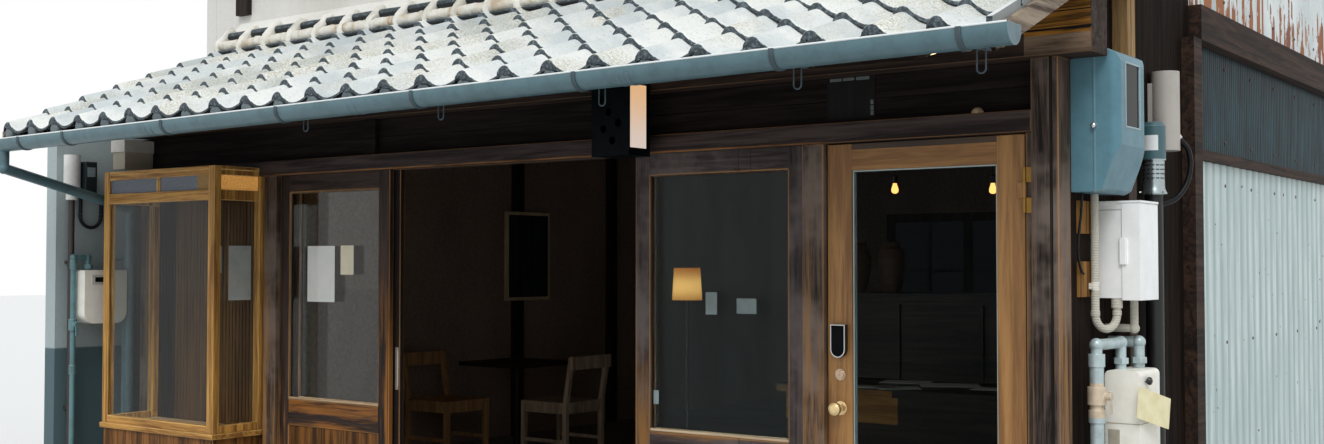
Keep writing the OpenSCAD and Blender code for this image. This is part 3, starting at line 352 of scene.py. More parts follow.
def roof_tile(pale="eceeea", grey="c3cccf", dark="333e44", lichen=0.7):
    """Smoked clay tiles: pale weathered tops, lichen and a tone for each tile, and painted shade on the ends,
    sides and undersides by which way each face turns. Dark is the colour of the ends' painted shade.
    """
    p = Paint(specular_ior_level=0.4)
    tone = p.new("ShaderNodeAttribute", {}, attribute_name="tone")["Fac"]
    wide = p.noise(2.2, 4, 0.6)
    fine = p.noise(70, 4, 0.7)
    share = p.plus(p.mul(tone, 0.5), p.step(wide, 0.35, 0.7), clamp=True)
    colour = p.mix(share, grey, pale)
    colour = p.mix(p.mul(p.step(fine, 0.52, 0.7), 0.5), colour, "a3adb0")
    growth = p.mul(p.step(p.noise(1.25, 3, 0.5), 0.47, 0.6), lichen)
    growth = p.mul(growth, p.step(p.noise(95, 3, 0.7), 0.44, 0.58))
    colour = p.mix(growth, colour, p.mix(p.step(p.noise(210, 2, 0.6), 0.4, 0.6), "9a9477", "cfc5a4"))
    # Painted shade: the tiles' lower ends, their sides and their undersides are darkened by which way they face.
    facing = p.split(p.facing)
    ends = p.step(p.math("ABSOLUTE", facing[1]), 0.55, 0.75)
    side = p.step(p.math("ABSOLUTE", facing[0]), 0.8, 0.95)
    painted_end_shade = p.mix(p.step(fine, 0.45, 0.75), dark, "7f8b90")
    colour = p.mix(p.math("MAXIMUM", ends, p.mul(side, 0.6)), colour, painted_end_shade)
    colour = p.mix(p.step(facing[2], 0.05, -0.2), colour, "1c2225")
    p.set(base_color=colour, roughness=p.plus(p.mul(fine, 0.3), 0.5))
    p.bump(p.plus(fine, p.mul(wide, 2.0)), 0.35, 0.004)
    return p.material


def plain(colour, second, rough=0.5, scale=30, bump=0.1, gloss=0.5, glow=0.0):
    """A moulded or painted surface with a faint mottle."""
    p = Paint(specular_ior_level=gloss)
    mottle = p.noise(scale, 4, 0.6)
    p.set(base_color=p.mix(p.step(mottle, 0.3, 0.75), colour, second),
          roughness=p.plus(p.mul(mottle, 0.2), rough - 0.1))
    if glow:
        p.set(emission_color=colour, emission_strength=glow)
    p.bump(mottle, bump, 0.002)
    return p.material


# ---- shapes


def add_object(name, data):
    made = bpy.data.objects.new(name, data)
    bpy.context.scene.collection.objects.link(made)
    return made


def turns(count):
    """A whole turn in equal parts, in radians."""
    return [2 * math.pi * k / count for k in range(count)]


def arc(start, stop, step):
    """The angles of a range of degrees, in radians."""
    return [math.radians(a) for a in range(start, stop, step)]


def round_point(x, y, radius, angle):
    return x + radius * math.cos(angle), y + radius * math.sin(angle)


def quads(rows, points, steps, columns):
    """Faces over rows of points, joined to the first row or point where steps or columns go that far."""
    return [[r * points + c, r * points + (c + 1) % points,
             (r + 1) % rows * points + (c + 1) % points, (r + 1) % rows * points + c]
            for r in range(steps) for c in range(columns)]


class Shape:
    """Gathers the faces of one piece, in metres, with a tone for each part."""

    def __init__(self):
        self.points, self.faces, self.tones = [], [], []

    def add(self, points, faces, tone=0.5, place=None):
        start = len(self.points)
        self.points += [tuple(place @ Vector(p)) if place else tuple(p) for p in points]
        self.faces += [[start + i for i in f] for f in faces]
        self.tones += [tone] * len(points)
        return self

    def tube_grid(self, rows, tone=0.5, place=None):
        """A closed skin over rings of points, with a face at each end."""
        n, count = len(rows[0]), len(rows)
        ends = [list(range(n))[::-1], [(count - 1) * n + c for c in range(n)]]
        return self.add([p for row in rows for p in row], quads(count, n, count - 1, n) + ends, tone, place)

    def ring(self, rows):
        """A skin over rings of points that closes on itself both ways."""
        n = len(rows[0])
        return self.add([p for row in rows for p in row], quads(len(rows), n, len(rows), n))

    def bar(self, low, high, edge=0.002, tone=0.5, place=None):
        """A box with its edges taken off."""
        mid = [(a + b) / 2 for a, b in zip(low, high)]
        half = [abs(b - a) / 2 for a, b in zip(low, high)]
        edge = min(edge, *(h * 0.45 for h in half))
        signs = list(product((-1, 1), repeat=3))
        index = {key: i for i, key in enumerate(product(signs, range(3)))}
        points = [[mid[a] + s[a] * (half[a] - (0 if a == axis else edge)) for a in range(3)] for s, axis in index]
        faces = [[index[s, a] for a in range(3)] for s in signs]
        for axis in range(3):
            b, c = (a for a in range(3) if a != axis)

            def corner(side, u, v):
                s = [side] * 3
                s[b], s[c] = u, v
                return tuple(s)

            for side in (-1, 1):
                faces.append([index[corner(side, u, v), axis] for u, v in ((-1, -1), (1, -1), (1, 1), (-1, 1))])
            for u, v in product((-1, 1), repeat=2):
                first, last = corner(-1, u, v), corner(1, u, v)
                faces.append([index[first, b], index[first, c], index[last, c], index[last, b]])
        self.add(points, faces, tone, place)

    def tube(self, path, radius, sides=12, tone=0.5):
        """A round rod along a path. Radius is a number, or one for each point."""
        path = [Vector(p) for p in path]
        radii = radius if isinstance(radius, (list, tuple)) else [radius] * len(path)
        rows, side = [], None
        for i, point in enumerate(path):
            ahead = (path[min(i + 1, len(path) - 1)] - path[max(i - 1, 0)]).normalized()
            if side is None:
                side = ahead.orthogonal().normalized()
            side = (side - ahead * side.dot(ahead)).normalized()
            other = ahead.cross(side)
            rows.append([point + (side * math.cos(a) + other * math.sin(a)) * radii[i] for a in turns(sides)])
        return self.tube_grid(rows, tone)

    def lathe(self, profile, place, sides=24, tone=0.5):
        """A profile of (radius, height) turned round the place's Z axis."""
        return self.tube_grid([[(*round_point(0, 0, r, a), z) for a in turns(sides)] for r, z in profile], tone, place)

    def boards(self, count, pitch, low, high, edge, axis=0):
        """A row of bars. Low and high are the first one's corners, and pitch is the step along an axis."""
        for i in range(count):
            move = [i * pitch * (a == axis) for a in range(3)]
            first, last = ([a + b for a, b in zip(corner, move)] for corner in (low, high))
            self.bar(first, last, edge, rng.random())

    def shake(self, start, amount):
        """Moves the points from start on at random, by up to amount along each axis."""
        for i in range(start, len(self.points)):
            self.points[i] = tuple(v + amount * rng.uniform(-1, 1) for v in self.points[i])

    def piece(self, name, material, slot, body="house", smooth=35):
        mesh = bpy.data.meshes.new(name)
        mesh.from_pydata(self.points, [], self.faces)
        mesh.attributes.new("tone", "FLOAT", "POINT").data.foreach_set("value", self.tones)
        work = bmesh.new()
        work.from_mesh(mesh)
        bmesh.ops.recalc_face_normals(work, faces=work.faces)
        work.to_mesh(mesh)
        work.free()
        mesh.polygons.foreach_set("use_smooth", [True] * len(mesh.polygons))
        mesh.set_sharp_from_angle(angle=math.radians(smooth))
        name_after(material, name)
        mesh.materials.append(material)
        made = add_object(name, mesh)
        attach(made, body)
        return made


def name_after(material, name):
    """A material takes the name of the first piece or node that wears it."""
    if not material.users:
        material.name = name


def dress(names, material):
    """Gives a material to the frame's own nodes."""
    for name in names.split():
        name_after(material, name)
        for slot in nodes[name].material_slots:
            slot.material = material
    return material


def bars(name, material, slot, edge, *boxes, body="house"):
    """A piece of plain bars, each given by its low and high corners' numbers and, where it differs, its edge."""
    shape = Shape()
    for box in boxes:
        shape.bar(box[:3], box[3:6], *(box[6:] or [edge]))
    return shape.piece(name, material, slot, body)


def at(x, y, z, turn=(0, 0, 0)):
    """A place, turned about X, then Y, then Z by degrees."""
    spin = Matrix.Identity(4)
    for axis, angle in zip("XYZ", turn):
        spin = Matrix.Rotation(math.radians(angle), 4, axis) @ spin
    return Matrix.Translation((x, y, z)) @ spin


# ---- roof tiles

# Across one tile: (distance from its left edge, height), the roll first and then the pan
TILE_OUTLINE = [(0.0, 0.026), (0.003, 0.04), (0.013, 0.053), (0.027, 0.061), (0.043, 0.062), (0.059, 0.056),
                (0.074, 0.045), (0.089, 0.032), (0.107, 0.018), (0.131, 0.007), (0.16, 0.003), (0.19, 0.006),
                (0.218, 0.014), (0.243, 0.024), (0.268, 0.034)]
TILE_W = 0.268
TILE_T = 0.018
ROLL_X = 0.043
# ROLL_T thickens each roll's lower end to close the gap beneath it; its end face takes the tiles' painted end shade and
# stands for the shadow in that gap.
ROLL_T = 0.03
MAIN_EAVE = 0.622


def tile(shape, x, y, run, rise, level, turn, width, tone, coarse=False):
    """One pan tile with its lower edge at y. Level gives the boards' height at a place, run is the
    tile's length in plan, signed up the slope, and rise is how far its lower edge stands over its head."""
    outline = TILE_OUTLINE[::2] if coarse else TILE_OUTLINE
    sway = math.tan(math.radians(turn))

    def row(share, lift, skin):
        points = []
        for across, height in outline:
            place_y = y + run * share - sway * (across - 0.12) * (1 if run > 0 else -1)
            # The roll's extra thickness fills the shadowed gap under it with solid tile, painted dark at its end.
            deep = skin + (ROLL_T * max(0.0, 1 - abs(across - 0.045) / 0.05) if skin else 0.0)
            base = level(place_y) + 0.009 + rise * (1 - share) + height + lift - deep
            points.append((x + across * width + sway * run * share, place_y, base))
        return points

    end = 0.005 / abs(run)
    rows = [row(1.0, 0, 0), row(end * 3, 0, 0), row(end, -0.0015, 0), row(0, -0.005, 0), row(0, 0.003, TILE_T),
            row(end, 0, TILE_T), row(1.0, 0, TILE_T)]
    if coarse:
        rows = [rows[0], rows[3], rows[4], rows[6]]
    n, count = len(outline), len(rows)
    sides = [[r * n for r in range(count)][::-1], [r * n + n - 1 for r in range(count)]]
    shape.add([p for r in rows for p in r], quads(count, n, count, n - 1) + sides, tone)


def roll_end(shape, x, y, z, out, tone):
    """The rough plug that closes an eave tile's roll."""
    r = 0.04 * rng.uniform(0.94, 1.04)
    start = len(shape.points)
    shape.lathe([(r - 0.004, -0.05), (r, -0.012), (r, 0.0), (r - 0.005, 0.006), (r - 0.016, 0.009), (0.008, 0.008)],
                at(x + ROLL_X, y, z, (-90 * out, 0, 0)), 16, tone)
    shape.shake(start, 0.0012)


def lay_tiles(field, ends, name, node, clay, plug):
    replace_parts(field.piece(f"{name}_tile_field", clay, "roof_tile", smooth=50), node)
    ends.piece(f"{name}_tile_plugs", plug, "mortar", smooth=50)


def pent_tiles(clay, plug):
    """The pent roof: 25 columns and 7 courses, hand laid, with the eave row's plugs and the side flaps."""
    courses, first_y, course = 7, -0.998, 0.2305
    left, right = PENT_X
    field, ends = Shape(), Shape()
    for c in range(PENT_COLUMNS):
        last = c == PENT_COLUMNS - 1
        drift = rng.uniform(-0.004, 0.004)
        for k in range(courses):
            tone = rng.random()
            x = left + 0.006 + c * (right - left) / PENT_COLUMNS + drift + rng.uniform(-0.004, 0.004)
            y = first_y + k * course + rng.uniform(-0.006, 0.006) * (k > 0)
            tile(field, x, y, course + 0.05 if k < courses - 1 else course, 0.029 + rng.uniform(-0.003, 0.004), pent_z,
                 rng.uniform(-1.2, 1.2), 0.89 if last else 1.0, tone)
            if last:
                low, top, rise = pent_z(y) + 0.008, pent_z(y) + 0.078, (course + 0.02) * PENT_PITCH
                head = y + course + 0.016
                flap = [(y - 0.004, low), (y - 0.004, top), (head, top + rise - 0.004), (head, low + rise)]
                field.tube_grid([[(right - dx, a, b) for a, b in flap] for dx in (0.026, 0.004)], tone)
            if k == 0:
                roll_end(ends, x, y + 0.012, pent_z(y) + 0.034, -1, tone)
    lay_tiles(field, ends, "pent", "pent_tiles", clay, plug)


def main_tiles(clay, plug):
    """Both slopes of the main roof."""
    left, right = -WALL_X - 0.104, WALL_X + 0.172
    columns, courses = 26, 18
    pitch = (right - left) / columns
    course = ((UPPER_Y + REAR_Y) / 2 - 0.06 - (UPPER_Y - MAIN_EAVE) - 0.03) / courses
    for name, eave_y, side in (("front", UPPER_Y - MAIN_EAVE, 1), ("rear", REAR_Y + MAIN_EAVE, -1)):
        field, ends = Shape(), Shape()
        for c, k in product(range(columns), range(courses)):
            x = left + c * pitch + rng.uniform(-0.003, 0.003)
            y = eave_y + side * k * course
            tile(field, x, y, side * (course + 0.03), 0.024, main_z, rng.uniform(-0.6, 0.6),
                 (pitch - 0.004) / TILE_W if c == columns - 1 else 1.0, rng.random(), coarse=True)
            if k == 0:
                roll_end(ends, x, y + side * 0.012, main_z(y) + 0.034, -side, rng.random())
        lay_tiles(field, ends, name, f"{name}_roof_tiles", clay, plug)


def ridge(clay, mortar):
    """The main ridge: courses of flat tiles bedded in mortar, round cap tiles and a plate at each end."""
    low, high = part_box("roof_ridge")
    middle = (low.y + high.y) / 2
    x0, x1 = low.x + 0.004, high.x - 0.004
    bed = bars("ridge_bed", mortar, "mortar", 0.004,
               (x0 + 0.02, middle - 0.07, low.z + 0.02, x1 - 0.02, middle + 0.07, high.z - 0.05))
    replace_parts(bed, "roof_ridge")
    tiles = Shape()
    for layer in range(4):
        z = low.z + 0.075 + 0.042 * layer
        pitch = (x1 - x0) / 26
        cuts = [x0] + [x0 + pitch * (i + (0.5 if layer % 2 else 1.0)) for i in range(25)] + [x1]
        for a, b in zip(cuts, cuts[1:]):
            for side in (-1, 1):
                edge = middle + side * (0.088 - 0.006 * layer)
                near, far = sorted((edge, edge - side * 0.05))
                tiles.bar((a + 0.002, near, z), (b - 0.002, far, z + 0.02), 0.004, rng.random())
    pitch = (x1 - x0 - 0.04) / 24
    for i in range(24):
        start = x0 + 0.02 + i * pitch
        cap = (start, 0.069), (start + 0.028, 0.069), (start + 0.03, 0.061), (start + pitch + 0.012, 0.058)
        tiles.tube_grid([[(x, *round_point(middle, high.z - 0.072, r, math.pi * k / 14)) for k in range(15)]
                         for x, r in cap], rng.random())
    half = [(0.085, low.z + 0.05), (0.088, high.z - 0.12), (0.06, high.z - 0.035)]
    plate = [(middle - y, z) for y, z in half] + [(middle, high.z - 0.001)] + [(middle + y, z) for y, z in half[::-1]]
    for x in (x0, x1 - 0.035):
        tiles.tube_grid([[(x + dx, a, b) for a, b in plate] for dx in (0, 0.035)], 0.2)
    tiles.piece("ridge_tiles", clay, "roof_tile", smooth=40)


def lumps(shape, path, radius, tone, sides=10, rough=0.12):
    """A hand-shaped roll of mortar along a path."""
    start = len(shape.points)
    ends = [0.55] + [1.0] * (len(path) - 2) + [0.55]
    shape.tube(path, [radius * e * rng.uniform(0.94, 1.06) for e in ends], sides, tone)
    shape.shake(start, rough * radius)


def flashing(mortar, pale, clay):
    """The bedded course of tiles and mortar where the pent roof meets the wall."""
    collars, rolls, flats = Shape(), Shape(), Shape()
    pitch = (PENT_X[1] - PENT_X[0]) / PENT_COLUMNS
    for c in range(PENT_COLUMNS):
        x = PENT_X[0] + 0.03 + c * pitch + rng.uniform(-0.006, 0.006)
        lumps(collars, [(x, 0.449, 2.899), (x, 0.452, 2.93), (x + 0.004, 0.468, 2.968), (x + 0.004, 0.506, 3.005),
                        (x, 0.545, 3.043), (x, 0.585, 3.072)], 0.029, rng.random(), rough=0.2)
        end = min(x + pitch - 0.02, 3.215)
        span = end - x - 0.02
        lumps(rolls, [(x + 0.02 + span * t, 0.463 + rng.uniform(-0.002, 0.002), 2.944 + rng.uniform(-0.003, 0.003))
                      for t in (0, 0.05, 0.2, 0.36, 0.52, 0.68, 0.84, 0.95, 1.0)], 0.032, rng.random(), 12, 0.13)
        flats.bar((x + 0.02, 0.428, 2.893), (end + 0.006, 0.49, 2.911), 0.004, rng.random() * 0.4)
        lumps(flats, [(x + 0.02 + span * t, 0.535, 3.018) for t in (0, 0.06, 0.5, 0.94, 1.0)], 0.027,
              rng.random() * 0.5, 12, 0.02)
    collars.piece("flashing_collars", mortar, "mortar", smooth=60)
    rolls.piece("flashing_rolls", pale, "mortar", smooth=60)
    flats.piece("flashing_flats", clay, "roof_tile", smooth=60)


# ---- the right side's sheets

SHEET_Y = (1.632, 7.86)
SHEET_HEAD_Z = 2.03
UPPER_SHEET_Z = 2.65


def corrugate(shape, z0, z1, pitch):
    y0, y1 = SHEET_Y
    steps = int((y1 - y0) / pitch * 6)
    outer = []
    for i in range(steps + 1):
        y = y0 + (y1 - y0) * i / steps
        outer.append((3.1215 + 0.0045 * math.cos(2 * math.pi * (y - y0) / pitch), y))
    ring = outer + [(x - 0.001, y) for x, y in outer[::-1]]
    shape.tube_grid([[(x, y, z) for x, y in ring] for z in (z0, z1)])


def sheets():
    """The corrugated sheets: wide and pale below, teal above them, white with rust at the top; the pale
    sheets carry painted shade in the troughs of their corrugation.
    """
    wide, narrow = 0.125, 1 / 28
    p = Paint(specular_ior_level=0.4)
    y, z = p.xyz[1:]
    broad = p.noise(2.0, 5, 0.6, p.scaled(p.place, (1, 1, 0.5)))
    streak = p.noise(16, 5, 0.65, p.scaled(p.place, (1, 1, 0.12)))
    wave = p.math("COSINE", p.mul(p.math("SUBTRACT", y, SHEET_Y[0]), 2 * math.pi / wide))
    white = p.mix(p.step(broad, 0.4, 0.7), "dfe4e4", "b9c2c4")
    teal = p.mix(p.step(streak, 0.35, 0.7), "0b1b20", "1f3e46")
    pale = p.mix(p.step(streak, 0.35, 0.7), "b2c4c3", "d2dfdd")
    # Painted shade: the pale sheets darken in the troughs of their corrugation.
    pale = p.mix(p.mul(p.step(wave, 0.3, -0.9), 0.6), pale, "8a9e9e")
    upper = p.step(z, UPPER_SHEET_Z, UPPER_SHEET_Z + 0.01)
    colour = p.mix(upper, p.mix(p.step(z, SHEET_HEAD_Z, SHEET_HEAD_Z + 0.005), pale, teal), white)
    fade = p.plus(p.mul(p.step(z, 2.74, 3.3), 0.16), 0.5)
    runs = p.mul(p.math("GREATER_THAN", streak, fade), upper)
    colour = p.mix(p.mul(runs, 0.9), colour, p.mix(p.step(broad, 0.4, 0.6), "7a3b14", "a5602a"))
    colour = p.mix(p.step(p.noise(26, 2, 0.5), 0.725, 0.74), colour, "3a2418")
    p.set(base_color=colour, roughness=p.mix_value(runs, 0.45, 0.85))
    p.bump(streak, 0.1, 0.002)
    field, heads = Shape(), Shape()
    corrugate(field, 0.102, 2.007, wide)
    corrugate(field, 2.057, 2.57, narrow)
    corrugate(field, 2.74, 4.388, narrow)
    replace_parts(field.piece("corrugated_field", p.material, "sheet_metal", smooth=60), "corrugated_sheets")
    for z, i in product((0.35, 1.1, 1.9, 2.12, 2.5, 2.85, 3.6, 4.3), range(13)):
        first = SHEET_Y[0] + (wide if z < SHEET_HEAD_Z else 4 * narrow)
        heads.lathe([(0.009, -0.002), (0.009, 0.001), (0.0045, 0.0035), (0.001, 0.004)],
                    at(3.126, first + i * 0.5, z, (0, 90, 0)), 10)
    heads.piece("sheet_screws", metal("4a382c", "8a6a4c", 0.6), "iron", smooth=40)


# ---- small pieces


def lip(x):
    """Height of the gutter's lip."""
    return 2.2647 - 0.05 * (3.38 - x) / 6.19


def gutter_details(paint, highlight_paint):
    """A near-white rod along the gutter's lip as a painted highlight, the gutter's sleeves, and the small lamp under
    the eave.
    """
    lip_highlight, sleeves = Shape(), Shape()
    ends = -2.807, *GUTTER_JOINTS, 3.377
    for a, b in zip(ends, ends[1:]):
        # A near-white rod along the lip: painted highlight.
        lip_highlight.tube([(x, -1.1008, lip(x)) for x in (a + 0.001, b - 0.001)], 0.0038, 10)
    lip_highlight.piece("gutter_lip", highlight_paint, "gutter_metal")
    band = [(0.0566, a) for a in arc(195, 346, 10)] + [(0.0552, a) for a in arc(345, 194, -10)]
    for x, start in product(GUTTER_JOINTS, (-0.03, 0.018)):
        sleeves.tube_grid([[(x + dx, *round_point(GUTTER_Y, lip(x) - 0.015, r, a)) for r, a in band]
                           for dx in (start, start + 0.012)])
    sleeves.piece("gutter_sleeves", paint, "gutter_metal", smooth=50)
    Shape().lathe([(0.024, 0.0), (0.024, 0.004), (0.02, 0.009), (0.008, 0.011)],
                  at(2.9575, -0.775, 2.2455, (202.5, 0, 0)), 20).piece(
        "eave_lamp", plain("ffe2b0", "ffe9c4", 0.4, glow=1.6), "ivory_plastic")


def sash_details():
    """Papers, beads and foot boards of the sliding sashes, and the open one's finger plate."""
    white, cream, grey = (
        plain(*colours, *PAPER) for colours in (("f8fcff", "eef4f8"), ("fbf4e0", "f0e8d0"), ("a8aaa8", "969896")))
    for name, x0, z0, x1, z1, paint, side in (
            ("notice_large", -1.362, 1.284, -1.126, 1.603, white, "left"),
            ("notice_small", -1.076, 1.44, -0.967, 1.604, cream, "left"),
            ("card_right", 1.607, 1.277, 1.713, 1.345, grey, "right"),
            ("card_middle", 1.437, 1.27, 1.5, 1.371, grey, "right"),
            ("card_low", 1.138, 0.845, 1.168, 0.909, grey, "right")):
        bars(name, paint, "ivory_plastic", PAPER_EDGE, (x0, 0.0178, z0, x1, 0.0184, z1), body=side + "_outer_sash")
    sill = wood("9a7a58", "d9c0a0", "x", 0.55)
    golden = wood("4a3a2a", "94795a", "z", 0.5)
    dull = wood("2c231e", "5e4e42", "z", 0.55)
    boards = wood("3a2412", "8a5a2a", "z", 0.6, cracks=0.6)
    for body, x, y in (
            ("left_outer_sash", LEFT_SASH_X, 0.0), ("left_inner_sash", LEFT_SASH_X + INNER_SASH_DX, INNER_SASH_Y),
            ("right_inner_sash", RIGHT_SASH_X, INNER_SASH_Y), ("right_outer_sash", RIGHT_SASH_X, 0.0)):
        left, right = (x + edge for edge in SASH_GLASS)
        bars(body + "_sill_bead", sill, "aged_timber", 0.004, (left, y + 0.0005, 0.7205, right, y + 0.012, 0.733),
             body=body)
        bars(body + "_bead", golden if x < 0 else dull, "honey_timber", 0.0015,
             *[(a, y + 0.002, 0.734, a + 0.005, y + 0.012, 1.9145) for a in (left + 0.0005, right - 0.0055)],
             (left + 0.006, y + 0.002, 1.9095, right - 0.006, y + 0.012, 1.9145), body=body)
        panel = Shape()
        for near in (y + 0.006, y + 0.021):
            panel.boards(8, 0.0949, (left + 0.0005, near, 0.201), (left + 0.093, near + 0.003, 0.569), 0.001)
        panel.piece(body + "_foot_boards", boards, "aged_timber", body)
    bars("finger_plate", metal("b9bcb8", "e6e6e2", 0.4, 0.7, 0.8), "iron", 0.004,
         (-0.6505, 0.0405, 0.815, -0.6265, 0.0425, 1.045),
         (-0.6455, 0.0398, 0.835, -0.6315, 0.0408, 1.025, 0.003), body="left_inner_sash")


def door_details():
    """The door's glass beads and its keypad."""
    left, right, foot, head = 2.2105, 2.8625, 0.2705, 1.8975
    boxes = []
    for y in (0.001, 0.0195):
        far = y + 0.0105
        boxes += [(left, y, foot, left + 0.006, far, head), (right - 0.006, y, foot, right, far, head),
                  (left + 0.0065, y, head - 0.006, right - 0.0065, far, head),
                  (left + 0.0065, y, foot, right - 0.0065, far, foot + 0.006)]
    bars("door_glass_bead", metal("a9b6b3", "d5dcd9", 0.4, 0.3), "sheet_metal", 0.002, *boxes, body="entry_door_leaf")

    def outline(shrink):
        x, z, r = 2.153, 1.138, 0.035 - shrink
        return [round_point(x, z, r, a) for a in arc(180, 361, 10)] + [(x + r, 1.243 - shrink), (x - r, 1.243 - shrink)]

    def loops(*pairs):
        return [[(x, y, z) for x, z in ring] for ring, y in pairs]

    outer, inner = outline(0.0004), outline(0.004)
    Shape().ring(loops((outer, -0.0295), (outer, -0.0322), (inner, -0.0322), (inner, -0.0295))).piece(
        "keypad_rim", plain("e9edf0", "dfe4e7", 0.35, 12, 0.01), "ivory_plastic", "entry_door_leaf")
    Shape().tube_grid(loops((inner, -0.0298), (inner, -0.0308))).piece(
        "keypad_face", plain("040507", "080a0c", 0.12, 12, 0.0, gloss=0.06), "black_plastic", "entry_door_leaf")


def front_details():
    """Bare strips of tape that hold the notice plate, and the lintel's worn lower edge."""
    boxes = [(a, 0.0158, 2.284 + rng.uniform(-0.001, 0.001), b, 0.0166, 2.297)
             for a, b in ((2.094, 2.15), (2.158, 2.212), (2.222, 2.284))]
    boxes += [(2.29, 0.0158, z, 2.304, 0.0166, z + 0.019) for z in (2.176, 2.152, 2.13)]
    bars("notice_tape", metal("6d7476", "a0a6a8", 0.45, 0.4, 0.6), "sheet_metal", PAPER_EDGE, *boxes)
    bars("lintel_edge", wood("4a2f1a", "9a6a3c", "x", 0.6, cracks=0.5), "aged_timber", 0.0008,
         (-1.59, -0.0512, 2.0155, 2.095, -0.0485, 2.0225))


def show_window_details():
    """The boards, slats and papers of the projecting window."""
    fronts = wood("3d2410", "8d5d2c", "z", 0.55, cracks=0.4)
    front, side, back, floor = Shape(), Shape(), Shape(), Shape()
    front.boards(18, 0.0605, (-2.8215, -0.3562, 0.002), (-2.763, -0.3502, 0.4995), 0.0015)
    side.boards(5, 0.068, (-1.7318, -0.349, 0.002), (-1.7258, -0.2835, 0.4995), 0.0015, 1)
    front.piece("show_front_boards", fronts, "honey_timber")
    side.piece("show_side_boards", fronts, "honey_timber")
    back.boards(32, 0.0322, (-2.8285, -0.0062, 0.532), (-2.801, -0.0002, 2.0), 0.003)
    back.boards(3, 0.0322, (-1.7981, -0.0062, 0.532), (-1.7706, -0.0002, 1.865), 0.003)
    slats = wood("3a2714", "5c4224", "z", 0.6, patches=[(dict(x=(-2.83, -2.6)), "100d0c", "1d1815")])
    back.piece("show_back_slats", slats, "aged_timber")
    floor.boards(5, 0.066, (-2.776, -0.3455, 0.5305), (-1.778, -0.28, 0.5365), 0.001, 1)
    floor.piece("show_floor_boards", wood("8a6a48", "c8a67c", "x", 0.55), "aged_timber")
    bars("show_notices", plain("c4c2bc", "b4b1ab", *PAPER), "ivory_plastic", PAPER_EDGE,
         (-1.7485, -0.241, 1.29, -1.7475, -0.086, 1.606), (-1.7485, -0.312, 1.449, -1.7475, -0.289, 1.603))


